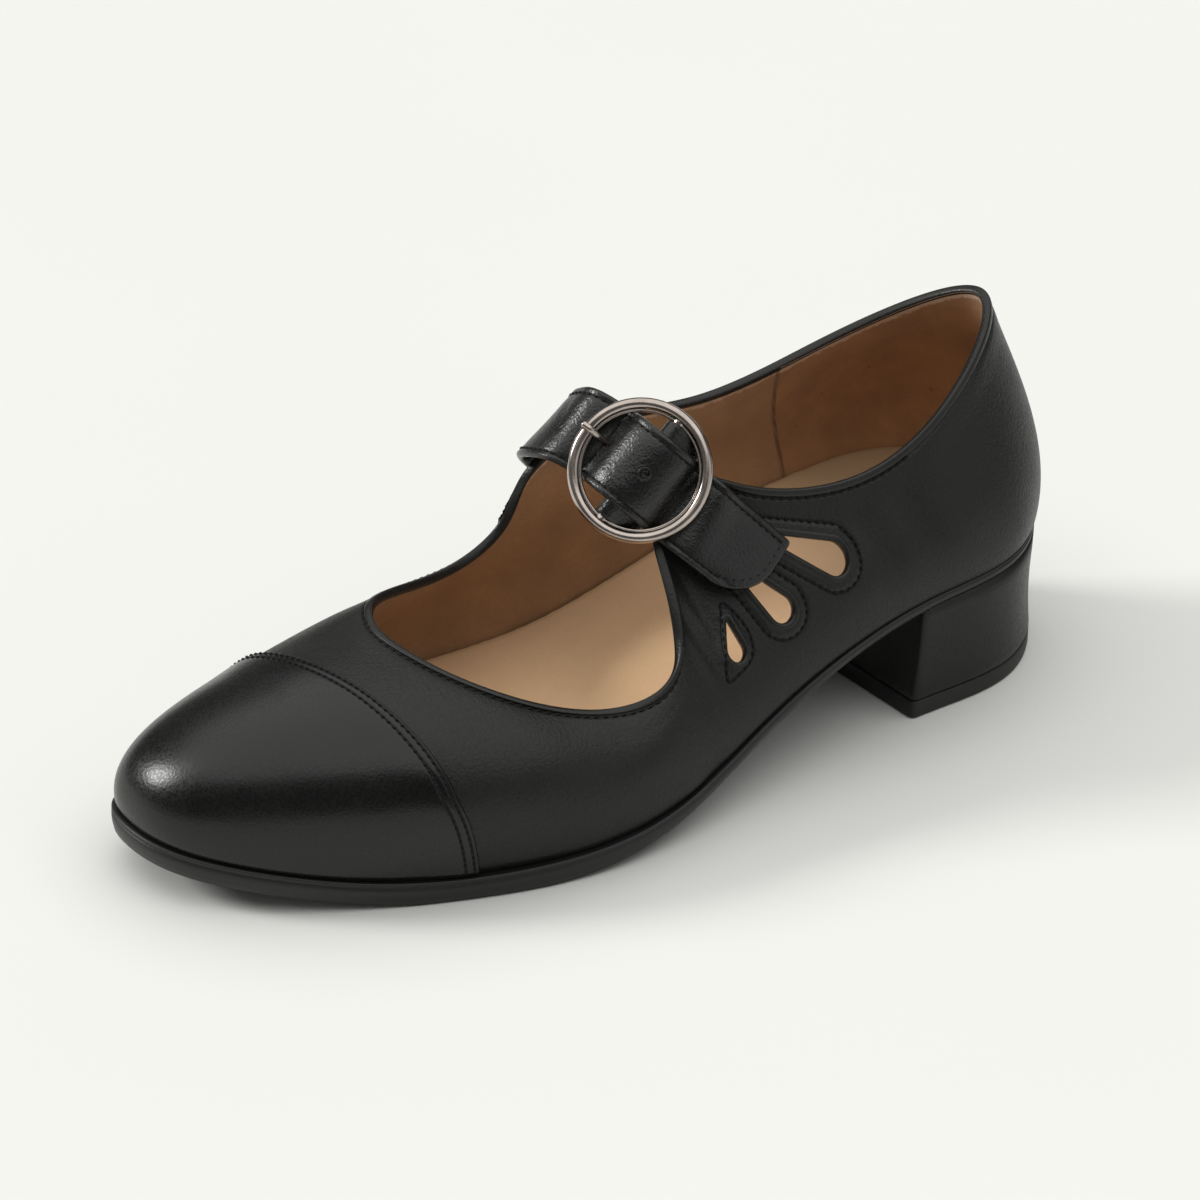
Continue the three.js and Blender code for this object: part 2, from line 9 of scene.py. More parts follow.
import bmesh
import bpy
import numpy as np
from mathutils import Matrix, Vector


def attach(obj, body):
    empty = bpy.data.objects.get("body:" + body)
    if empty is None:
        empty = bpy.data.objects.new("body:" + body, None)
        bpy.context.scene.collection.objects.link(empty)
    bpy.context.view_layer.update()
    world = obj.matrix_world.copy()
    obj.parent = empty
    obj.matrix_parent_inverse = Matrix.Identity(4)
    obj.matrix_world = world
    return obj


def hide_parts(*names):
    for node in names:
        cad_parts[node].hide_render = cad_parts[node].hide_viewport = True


bl_info = {
    "name": "Mary Jane Pump",
    "version": (1, 0, 0),
    "blender": (4, 5, 0),
    "location": "3D View > Sidebar > Shoe",
    "description": "Builds a leather mary jane pump with its stitching, buckle, sole and heel",
    "category": "Add Mesh",
}

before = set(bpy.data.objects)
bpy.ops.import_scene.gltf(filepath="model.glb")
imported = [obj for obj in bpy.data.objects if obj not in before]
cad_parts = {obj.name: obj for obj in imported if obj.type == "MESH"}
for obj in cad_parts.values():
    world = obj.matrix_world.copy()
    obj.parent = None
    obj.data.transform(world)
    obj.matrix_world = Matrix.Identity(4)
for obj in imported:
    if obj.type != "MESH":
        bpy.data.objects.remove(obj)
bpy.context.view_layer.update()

# ---- the shoe's own sizes, in millimetres ----
MM = 0.001
MIDDLE = np.array([122.6, 1.65, 0.0])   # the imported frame's origin in the shoe's own frame
WALL = 1.8                              # upper leather and lining together
GAP = 0.3                               # clearance between neighbouring pieces
INSOLE_THICKNESS = 2.6
HEEL_PIECE = 5.0
HEEL_LENGTH = 51.0                      # along its outer side, from the back to the breast
HEEL_TAPER = 0.01
HEEL_MIDDLE = 24.0                      # the heel narrows towards this x
SEAT_OVERHANG = 4.0                     # the seat reaches this far behind the shoe's origin
BREAST_SKEW = 8.0                       # how much further forward the breast's inner end is
BREAST_SLANT = 3.0
CAP_THICKNESS = 1.0
CAP_SEAM = 197.3                        # x of the toe cap's seam on the shoe's axis, over the bend
CAP_SKEW = 0.266                        # how much further back it lies per mm to the outer side
CAP_BEND = 29.0                         # below this height the seam slopes back
CAP_SLOPE = 0.2
CAP_ROWS = (1.1, 3.0)                   # the two rows of stitches, from the cap's edge
RING_RADIUS = 16.3
RING_WIRE = 1.6
BAR_RADIUS = 1.1
BAR_DEPTH = 0.5
PRONG_RADIUS = 0.9
TAB_THICKNESS = 1.1
TAB_HALF = 14.3                         # half the width of the tab's fold

# foot x, y | topline x, y, z | out, up, over, drop: how the wall leaves the sole and arrives at
# the topline. In order from the toe along the outer side to the back and home on the inner side.
SECTIONS = {
    "toe": (248.5, -9, 179, -5, 47.5, 4.5, 22, 34, 1.8),
    "outer toe": (242, 8.5, 175.5, 7.5, 46, 4.6, 22, 35, -2),
    "outer toe side": (219.5, 25.5, 167, 19.5, 42.5, 4.8, 22, 30, -1.5),
    "outer vamp": (189, 38.8, 154, 29.5, 38, 4.8, 21, 21, 2.5),
    "outer ball": (163, 46.5, 138, 35.5, 35.5, 4.6, 20, 11, 5.5),
    "outer throat": (140, 48.5, 123, 36, 40.5, 4.4, 18.5, 5, 8),
    "outer waist": (119, 45.5, 116, 25.4, 54.6, 4.2, 19, 4, 12),
    "tab front": (102, 41.7, 112, 11.2, 69.6, 4.1, 20, 4, 15),
    "tab rear": (86, 38.7, 102, 10, 76.4, 4.4, 20, 4, 16),
    "outer quarter": (68, 36.2, 87, 17.2, 71.5, 4.9, 19.5, 4.2, 15),
    "outer seat": (42, 33.8, 58, 22, 69, 5.6, 18, 6, 15),
    "outer heel": (13.5, 28.5, 28, 18, 82.5, 5.3, 19.5, 8.5, 18),
    "back": (-4, 0.5, 7.2, -1, 95, 4.2, 21.5, 9, 23),
    "inner heel": (14.5, -27.5, 26, -22, 83.6, 5.4, 19.5, 8, 18),
    "inner seat": (43, -33, 53, -27, 75, 5.8, 19.5, 5, 15),
    "inner quarter": (68, -33.2, 75, -27.2, 72.6, 5.8, 21, 3.8, 15),
    "inner strap rear": (86, -32.8, 93, -27, 74.6, 5.8, 23, 3, 15),
    "inner strap front": (102, -34, 110, -28, 74, 5.8, 23.5, 3, 14),
    "inner waist": (119, -37, 124.5, -30.2, 64.5, 5.6, 22, 3, 12),
    "inner throat": (140, -42, 130.5, -32, 51.3, 4.8, 19, 3.8, 9.5),
    "inner ball": (167, -45, 142.5, -31.6, 44, 4, 18, 7.5, 7.5),
    "inner vamp": (196, -41, 157.5, -28, 44.6, 3.8, 17, 13.5, 7.8),
    "inner toe side": (226, -32, 172.5, -22, 48, 3.9, 17, 22, 9),
    "inner toe": (244.5, -22.5, 178.3, -13.5, 48, 4.3, 20.5, 31, 6.5),
}

# x along the shoe, height of the sole's upper face, its thickness, how far its edge stands out
SOLE = (
    (-12, 36.9, 3.0, 0.0),
    (0, 36.9, 3.0, 0.0),
    (25, 36.0, 3.0, 0.0),
    (50, 33.8, 3.0, 0.2),
    (75, 28.8, 3.2, 0.6),
    (100, 20.3, 3.5, 1.0),
    (125, 11.3, 4.3, 1.4),
    (150, 7.4, 6.0, 1.8),
    (175, 6.3, 6.6, 2.0),
    (200, 7.0, 6.7, 2.0),
    (225, 11.0, 6.4, 2.0),
    (250, 16.1, 6.4, 2.0),
    (262, 18.2, 6.4, 2.0),
)

# teardrop cut-outs in side view: the point x, z, the round end x, z and its radius
DROPS = {
    "rear": (90, 62, 72.6, 53.3, 3.7),
    "middle": (99.8, 58.6, 89.9, 46, 3.2),
    "front": (104.2, 46.4, 104.5, 39.9, 2.3),
}

# the row of stitches round the front cut-out is a leaf, in side view: x, z
LEAF = (
    (103.6, 49.4), (100.4, 45.2), (99.6, 40.8), (101.4, 37.4), (105.2, 35.4), (108.9, 34.6),
    (108.2, 38.2), (106.9, 42.4), (105.4, 46.4),
)

# the strap's course: side, lift in its leaning plane from the middle of the buckle, lean, and how
# far it is shifted forward along its width
BUCKLE = np.array([114.4, 6.9, 80.1])
STRAP_AXIS = np.array([0.75, 0.0, -0.66])
STRAP_AXIS = STRAP_AXIS / np.linalg.norm(STRAP_AXIS)
STRAP_UP = np.array([0.66, 0.0, 0.75])
STRAP_UP = STRAP_UP / np.linalg.norm(STRAP_UP)
STRAP = {
    "sewn end": (-34.4, -20, -0.2, 6.5),
    "inner topline": (-31.8, -10, -0.2, 6.5),
    "inner instep": (-28.6, -1.6, -0.15, 6.2),
    "instep": (-23.6, 4.6, -0.1, 5.2),
    "top of the instep": (-17.2, 7.9, -0.04, 3.2),
    "inner ring": (-10.6, 8.0, 0, 1.2),
    "inside the ring": (-4.1, 4.0, 0, 0.2),
    "inner dome": (1.7, 5.4, 0, 0),
    "over the bar": (9.4, 3.4, 0, 0),
    "outer dome": (13.6, -3.4, 0, 0),
    "out of the dome": (14.5, -9.5, 0.04, 0),
    "outer ring": (20.1, -14.0, 0.14, 0),
    "outer quarter": (23.2, -20.4, 0.26, 0),
    "near the tip": (26.4, -27.1, 0.33, 0),
    "tip": (29.6, -33.7, 0.38, 0),
}

# the prong from its eye on the bar to its tip on the ring: along the strap, out of it
PRONG_PATH = (
    (-2.0, -1.6), (-5, -2.4), (-7.5, -3.4), (-9.6, -3.3), (-11.2, -1.6), (-12.8, 0.6),
    (-14.6, 2.1), (-15.7, 2.8), (-17.7, 2.9),
)

# Soft troughs left by wear, each as: view, start, end, half width, depth. "top" gives x and y,
# "outer" and "inner" give x and z on that side.
CREASES = (
    ("top", (150, 40), (176, 6), 4.5, 0.35),
    ("top", (158, -38), (186, -14), 4.5, 0.35),
    ("outer", (128, 30), (116, 16), 4.0, 0.3),
    ("outer", (112, 58), (108, 44), 1.6, 0.3),
    ("outer", (115, 50), (110, 36), 1.4, 0.25),
    ("outer", (64, 60), (56, 46), 5.0, 0.4),
    ("outer", (50, 62), (44, 48), 4.5, 0.3),
    ("outer", (32, 68), (24, 50), 6.0, 0.35),
    ("inner", (122, 50), (112, 34), 4.5, 0.4),
    ("inner", (96, 60), (84, 40), 6.0, 0.4),
    ("inner", (60, 62), (48, 46), 6.0, 0.35),
    ("inner", (34, 70), (24, 52), 6.0, 0.35),
)


# ---- settings that a user would change ----

class ShoeSizes(bpy.types.PropertyGroup):
    """Sizes of the finish."""
    stitch_pitch: bpy.props.FloatProperty(
        name="Stitch Pitch", description="From one stitch to the next",
        default=2.35 * MM, min=0.001, unit="LENGTH")
    stitch_length: bpy.props.FloatProperty(
        name="Stitch Length", description="The part of each stitch that shows",
        default=1.75 * MM, min=0.0005, unit="LENGTH")
    thread_radius: bpy.props.FloatProperty(
        name="Thread Radius", description="Half the thickness of the sewing thread",
        default=0.27 * MM, min=0.0001, unit="LENGTH")
    strap_width: bpy.props.FloatProperty(
        name="Strap Width", description="Width of the instep strap",
        default=21 * MM, min=0.005, unit="LENGTH")
    strap_thickness: bpy.props.FloatProperty(
        name="Strap Thickness", description="Both layers of the instep strap",
        default=2.0 * MM, min=0.001, unit="LENGTH")
    grain_size: bpy.props.FloatProperty(
        name="Grain Size", description="Width of one pebble of the leather's grain",
        default=0.8 * MM, min=0.0001, unit="LENGTH")


def colour_setting(name, description, default):
    return bpy.props.FloatVectorProperty(
        name=name, description=description, default=default, size=4, min=0, max=1, subtype="COLOR")


class ShoeColours(bpy.types.PropertyGroup):
    """Colours of the finish."""
    leather: colour_setting("Leather", "Calf of the upper and strap", (0.0062, 0.0062, 0.0056, 1))
    heel_leather: colour_setting("Heel Leather", "Leather round the heel", (0.0062, 0.0062, 0.0054, 1))
    rubber: colour_setting("Rubber", "Outsole and heel top piece", (0.006, 0.0062, 0.0058, 1))
    thread: colour_setting("Thread", "Sewing thread", (0.0025, 0.0025, 0.0025, 1))
    lining: colour_setting("Lining", "Leather inside the vamp", (0.39, 0.225, 0.115, 1))
    heel_grip: colour_setting("Heel Grip", "Suede inside the back", (0.38, 0.2, 0.09, 1))
    insole: colour_setting("Insole", "Leather sock underfoot", (0.78, 0.52, 0.3, 1))
    metal: colour_setting("Metal", "Satin nickel of the buckle", (0.46, 0.40, 0.36, 1))
    floor: colour_setting("Floor", "Table that the shoe stands on", (0.84, 0.84, 0.815, 1))


# ---- curves ----

def round_curve(values):
    """A smooth closed curve through one value per section."""
    v = np.asarray(values, float)
    n = len(v)
    system = 4 * np.eye(n) + np.roll(np.eye(n), 1, 0) + np.roll(np.eye(n), -1, 0)
    bend = np.linalg.solve(system, 6 * (np.roll(v, 1) - 2 * v + np.roll(v, -1)))

    def at(u):
        turn = np.mod(u, n)
        i = np.floor(turn).astype(int) % n
        j = (i + 1) % n
        b = turn - np.floor(turn)
        a = 1 - b
        return a * v[i] + b * v[j] + ((a ** 3 - a) * bend[i] + (b ** 3 - b) * bend[j]) / 6
    return at


def open_curve(stations, values):
    """A smooth open curve through values at rising stations."""
    x = np.asarray(stations, float)
    v = np.asarray(values, float)
    n = len(x)
    step = np.diff(x)
    system = np.eye(n)
    load = np.zeros(n)
    for i in range(1, n - 1):
        system[i, i - 1:i + 2] = step[i - 1], 2 * (step[i - 1] + step[i]), step[i]
        load[i] = 6 * ((v[i + 1] - v[i]) / step[i] - (v[i] - v[i - 1]) / step[i - 1])
    bend = np.linalg.solve(system, load)

    def at(s):
        s = np.asarray(s, float)
        i = np.clip(np.searchsorted(x, s, side="right") - 1, 0, n - 2)
        h = step[i]
        b = (s - x[i]) / h
        a = 1 - b
        sag = ((a ** 3 - a) * bend[i] + (b ** 3 - b) * bend[i + 1]) * h * h / 6
        return a * v[i] + b * v[i + 1] + sag
    return at


def unit(v):
    return v / np.maximum(np.linalg.norm(v, axis=-1, keepdims=True), 1e-12)


def smooth(x, low, high):
    """0 below low, 1 above high, and a soft step between."""
    t = np.clip((x - low) / (high - low), 0, 1)
    return t * t * (3 - 2 * t)


ROUND = len(SECTIONS)
COLUMNS = list(zip(*SECTIONS.values()))
foot_x, foot_y, top_x, top_y, top_z, wall_out, wall_up, wall_over, wall_drop = (
    round_curve(column) for column in COLUMNS)
sole_x, sole_tops, sole_thicks, sole_edges = zip(*SOLE)
sole_top = open_curve(sole_x, sole_tops)
sole_thick = open_curve(sole_x, sole_thicks)
sole_edge = open_curve(sole_x, sole_edges)
AT = {name: i for i, name in enumerate(SECTIONS)}


def outward(x, y):
    """The level direction straight out of the shoe's side at a point of the outline."""
    along = x - np.clip(x, 30, 168)
    return unit(np.stack([along, y, np.zeros_like(y)], -1))


def last_point(u, t):
    """The last's surface: u runs round the shoe by section, t from the sole to the topline."""
    u, t = np.broadcast_arrays(np.asarray(u, float), np.asarray(t, float))
    x, y = foot_x(u), foot_y(u)
    side = outward(x, y)
    foot = np.stack([x, y, sole_top(x)], -1)
    top = np.stack([top_x(u), top_y(u), top_z(u)], -1)
    rise = foot + side * wall_out(u)[..., None]
    rise[..., 2] += wall_up(u)
    turn = top + side * wall_over(u)[..., None]
    turn[..., 2] -= wall_drop(u)
    t = t[..., None]
    s = 1 - t
    return s ** 3 * foot + 3 * s * s * t * rise + 3 * s * t * t * turn + t ** 3 * top


def last_normal(u, t):
    u, t = np.broadcast_arrays(np.asarray(u, float), np.asarray(t, float))
    around = last_point(u + 0.02, t) - last_point(u - 0.02, t)
    climb = last_point(u, np.minimum(t + 0.01, 1)) - last_point(u, np.maximum(t - 0.01, 0))
    return unit(np.cross(around, climb))


def place(points):
    """Millimetres in the shoe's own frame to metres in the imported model's frame."""
    return (np.asarray(points, float) - MIDDLE) * MM


# ---- cut-outs ----

def drop_distance(x, z, drop):
    """Distance from a teardrop's edge in side view: below zero inside it."""
    px, pz, ex, ez, radius = drop
    away = np.array([ex - px, ez - pz])
    length = np.linalg.norm(away)
    away = away / length
    along = (x - px) * away[0] + (z - pz) * away[1]
    across = np.abs((x - px) * away[1] - (z - pz) * away[0])
    b = -radius / length
    a = math.sqrt(1 - b * b)
    k = a * along + b * across
    point = np.hypot(along, across)
    bulb = np.hypot(along - length, across) - radius
    flank = a * across + b * along
    return np.where(k < 0, point, np.where(k > a * length, bulb, flank))


def drop_outline(drop, grow, count):
    """Evenly spaced points round a teardrop's edge, grown by a distance."""
    px, pz, ex, ez, radius = drop
    away = np.array([ex - px, ez - pz])
    length = np.linalg.norm(away)
    bearing = math.atan2(away[1], away[0])
    spread = math.acos(radius / length)
    turn = np.linspace(spread - math.pi, math.pi - spread, 60) + bearing
    bulb = np.stack([ex + (radius + grow) * np.cos(turn), ez + (radius + grow) * np.sin(turn)], 1)
    # the tip is a small arc, so that a grown outline stays smooth
    tip_turn = np.linspace(math.pi - spread, math.pi + spread, 14) + bearing
    reach = max(grow, 0.35)
    pull = away / length * (0.35 if grow < 0.35 else 0)
    tip = np.stack([px + pull[0] + reach * np.cos(tip_turn), pz + pull[1] + reach * np.sin(tip_turn)], 1)
    ring = np.vstack([bulb, tip, bulb[:1]])
    return resample(ring, count, closed=True)


def reach_along(path):
    """The distance along a path at each of its points."""
    return np.concatenate([[0], np.cumsum(np.linalg.norm(np.diff(path, axis=0), axis=1))])


def resample(path, count, closed=False):
    """Evenly spaced points along a path. A closed path repeats its first point at its end."""
    length = reach_along(path)
    want = np.linspace(0, length[-1], count + 1 if closed else count)
    points = np.stack([np.interp(want, length, path[:, k]) for k in range(path.shape[1])], 1)
    return points[:-1] if closed else points


def outer_side(x, z):
    """Where u and t lie on the outer side for a point in side view."""
    us, ts = np.meshgrid(np.linspace(4, 11, 141), np.linspace(0, 1, 81), indexing="ij")
    grid = last_point(us, ts)
    u = np.empty(len(x))
    t = np.empty(len(x))
    for i in range(len(x)):
        k = np.argmin((grid[..., 0] - x[i]) ** 2 + (grid[..., 2] - z[i]) ** 2)
        u[i], t[i] = us.flat[k], ts.flat[k]
    step = 1e-3
    for _ in range(12):
        p = last_point(u, t)
        pu = (last_point(u + step, t) - p) / step
        pt = (last_point(u, t + step) - p) / step
        rx, rz = x - p[:, 0], z - p[:, 2]
        det = pu[:, 0] * pt[:, 2] - pu[:, 2] * pt[:, 0]
        u = u + np.clip((rx * pt[:, 2] - rz * pt[:, 0]) / det, -0.3, 0.3)
        t = np.clip(t + np.clip((pu[:, 0] * rz - pu[:, 2] * rx) / det, -0.1, 0.1), 0, 1)
    return u, t


# ---- the leather's relief ----

def side_seam(p):
    """Signed distance behind the inner side seam between vamp and quarter."""
    on_inner = p[..., 1] < 0
    line = 133 - 0.28 * (60 - p[..., 2])
    return np.where(on_inner, line - p[..., 0], -99)


def relief(u, t, p):
    """How far the finished leather stands out from the last, in millimetres."""
    x, y, z = p[..., 0], p[..., 1], p[..., 2]
    out = np.zeros(x.shape)
    for view, start, end, width, depth in CREASES:
        a, b = np.array(start, float), np.array(end, float)
        q = np.stack([x, y if view == "top" else z], -1)
        along = ((q - a) @ (b - a)) / ((b - a) @ (b - a))
        across = ((q - a) @ np.array([-(b - a)[1], (b - a)[0]])) / np.linalg.norm(b - a)
        on = smooth(along, -0.45, 0.25) * (1 - smooth(along, 0.75, 1.45))
        if view == "outer":
            on = on * smooth(y, 2, 8)
        if view == "inner":
            on = on * smooth(-y, 2, 8)
        wave = np.exp(-(across / width) ** 2) - 0.55 * np.exp(-((across - 1.9 * width) / width) ** 2)
        out -= depth * on * wave
    outer = smooth(y, 4, 8)
    for name, drop in DROPS.items():
        d = drop_distance(x, z, drop)
        reach = 2.6 if name == "front" else 3.5
        pillow = 0.42 * smooth(d, -0.5, 0.9) * (1 - smooth(d, reach - 1.2, reach))
        groove = 0.2 * np.exp(-((d - reach - 0.1) / 0.5) ** 2) * (name != "front")
        out += outer * (pillow - groove)
    below = np.linalg.norm(last_point(u, np.ones_like(t)) - p, axis=-1)
    out += 0.16 * smooth(below, 2.2, 3.4) * (1 - smooth(below, 4.5, 9))
    out -= 0.2 * np.exp(-((below - 2.1) / 0.45) ** 2)
    behind = side_seam(p)
    out += 0.7 * smooth(behind, -0.35, 0.35) * (1 - smooth(behind, 0.9, 9))
    out -= 0.2 * np.exp(-((behind - 1.6) / 0.45) ** 2)
    # the wall tucks in where it meets the sole
    out -= 0.35 * (1 - smooth(t, 0, 0.035))
    return out


def skin(u, t, lift=0.0):
    """Points of the finished outer leather, lifted off it by a distance."""
    p = last_point(u, t)
    return p + last_normal(u, t) * (relief(u, t, p) + lift)[..., None]


def cap_seam(y, z):
    """How far forward the toe cap's edge lies at a distance from the axis and a height."""
    return CAP_SEAM - CAP_SKEW * y - CAP_SLOPE * np.maximum(CAP_BEND - z, 0)


def height_at_seam(u, ahead=0.0):
    """t where a rib crosses the toe cap's edge, moved forward by a distance."""
    low, high = np.zeros_like(u), np.ones_like(u)
    for _ in range(30):
        middle = (low + high) / 2
        p = last_point(u, middle)
        inside = p[..., 0] > cap_seam(p[..., 1], p[..., 2]) + ahead
        low = np.where(inside, middle, low)
        high = np.where(inside, high, middle)
    return (low + high) / 2


def cap_lift(distance):
    """How far the toe cap stands off the vamp's surface at a distance from its edge."""
    edge = CAP_THICKNESS * np.sqrt(np.clip(1 - (1 - np.clip(distance / 0.75, 0, 1)) ** 2, 0, 1))
    rows = sum(0.16 * np.exp(-((distance - row) / 0.4) ** 2) for row in CAP_ROWS)
    return GAP * 0.3 + edge - rows - 0.35 * smooth(distance, 3, 14)


# ---- meshes ----


def strips(rows, columns, around=False, along=False):
    """Quads between the points of a grid, closed round its columns or its rows if asked."""
    faces = []
    last_row = rows if along else rows - 1
    last_column = columns if around else columns - 1
    for r in range(last_row):
        a = r * columns
        b = (r + 1) % rows * columns
        for c in range(last_column):
            d = (c + 1) % columns
            faces.append((a + c, a + d, b + d, b + c))
    return faces


def new_piece(name, points, faces, material, replaces=(), attributes=None, is_sheet=False):
    """A smooth mesh that rides on the shoe's one body. A sheet's faces are wound outwards already."""
    mesh = bpy.data.meshes.new(name)
    mesh.from_pydata(place(points).tolist(), [], [tuple(int(i) for i in f) for f in faces])
    for key, values in (attributes or {}).items():
        layer = mesh.attributes.new(key, "FLOAT", "POINT")
        layer.data.foreach_set("value", np.asarray(values, np.float32))
    work = bmesh.new()
    work.from_mesh(mesh)
    loose = [v for v in work.verts if not v.link_faces]
    bmesh.ops.delete(work, geom=loose, context="VERTS")
    bmesh.ops.remove_doubles(work, verts=work.verts, dist=1e-7)
    if not is_sheet:
        bmesh.ops.recalc_face_normals(work, faces=work.faces)
    work.to_mesh(mesh)
    work.free()
    mesh.polygons.foreach_set("use_smooth", [True] * len(mesh.polygons))
    mesh.materials.append(material)
    piece = bpy.data.objects.new(name, mesh)
    bpy.context.collection.objects.link(piece)
    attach(piece, "root")
    if replaces:
        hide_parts(*replaces)
    return piece


def loft(loops, closed=True, caps=True):
    """Joins loops of equal count into one skin, with flat ends if asked."""
    rows = len(loops)
    columns = len(loops[0])
    faces = strips(rows, columns, around=closed)
    if caps:
        faces.append(tuple(range(columns))[::-1])
        faces.append(tuple(range((rows - 1) * columns, rows * columns)))
    return np.vstack(loops), faces


def sweep(path, across, rise, profile, closed):
    """A skin along a path: the profile's two numbers go along across and rise at each point."""
    aside, up = profile[None, :, :1], profile[None, :, 1:]
    loops = path[:, None, :] + across[:, None, :] * aside + rise[:, None, :] * up
    rows, columns = loops.shape[:2]
    faces = strips(rows, columns, around=True, along=closed)
    if not closed:
        faces.append(tuple(range(columns)))
        faces.append(tuple(range((rows - 1) * columns, rows * columns))[::-1])
    return loops.reshape(-1, 3), faces


def smooth_ring(points, count):
    """A closed smooth curve through a few profile points."""
    points = np.asarray(points, float)
    n = len(points)
    at = [round_curve(points[:, k]) for k in range(points.shape[1])]
    u = np.linspace(0, n, count, endpoint=False)
    return np.stack([curve(u) for curve in at], 1)


def softened(ring, times):
    """A closed ring with its corners rounded by averaging neighbours."""
    for _ in range(times):
        ring = 0.5 * ring + 0.25 * (np.roll(ring, 1, 0) + np.roll(ring, -1, 0))
    return ring


class Stitches:
    """Rows of short raised threads, gathered into one mesh."""

    def __init__(self, sizes):
        self.pitch = sizes.stitch_pitch / MM
        self.length = sizes.stitch_length / MM
        self.radius = sizes.thread_radius / MM
        self.points = []
        self.faces = []
        self.count = 0

    def row(self, path, normals, pitch=None):
        """One row along a path that already lies on the leather."""
        reach = reach_along(path)
        total = reach[-1]
        pitch = pitch or self.pitch
        count = max(1, int(round(total / pitch)))
        share = self.length / self.pitch
        bow = np.array([-0.3, 0.02, 0.16, 0.2, 0.16, 0.02, -0.3])
        girth = np.array([0.55, 0.95, 1.0, 1.0, 1.0, 0.95, 0.55])
        ring = np.linspace(0, 2 * math.pi, 6, endpoint=False)
        # painted shade: a dark strip under each row stands for the shade in its groove
        self.groove_shade_strip(path, normals)
        for k in range(count):
            start = (k + 0.5 - share / 2) * total / count
            end = (k + 0.5 + share / 2) * total / count
            s = np.linspace(start, end, len(bow))
            centre = np.stack([np.interp(s, reach, path[:, i]) for i in range(3)], 1)
            normal = unit(np.stack([np.interp(s, reach, normals[:, i]) for i in range(3)], 1))
            way = unit(np.gradient(centre, axis=0))
            across = unit(np.cross(way, normal))
            centre = centre + normal * bow[:, None]
            offset = self.count
            body = (centre[:, None, :]
                    + across[:, None, :] * (self.radius * girth[:, None] * np.cos(ring))[..., None]
                    + normal[:, None, :] * (self.radius * girth[:, None] * np.sin(ring))[..., None])
            self.add(body.reshape(-1, 3))
            quads = strips(len(bow), 6, around=True)
            quads += [tuple(range(6))[::-1], tuple(range((len(bow) - 1) * 6, len(bow) * 6))]
            self.faces += [tuple(offset + i for i in quad) for quad in quads]

    def groove_shade_strip(self, path, normals):
        """A flat dark strip in the thread's material, laid just over the leather along the row: painted
        shade standing in for the groove that the stitches are pulled into.
        """
        across = unit(np.cross(np.gradient(path, axis=0), normals))
        rows = [path + across * side * self.radius + normals * 0.03 for side in (-1.3, 1.3)]
        self.faces += [tuple(self.count + i for i in quad) for quad in strips(2, len(path))]
        self.add(np.vstack(rows))

    def add(self, points):
        self.points.append(points)
        self.count += len(points)

    def finish(self, name, material):
        return new_piece(name, np.vstack(self.points), self.faces, material)


# ---- materials ----

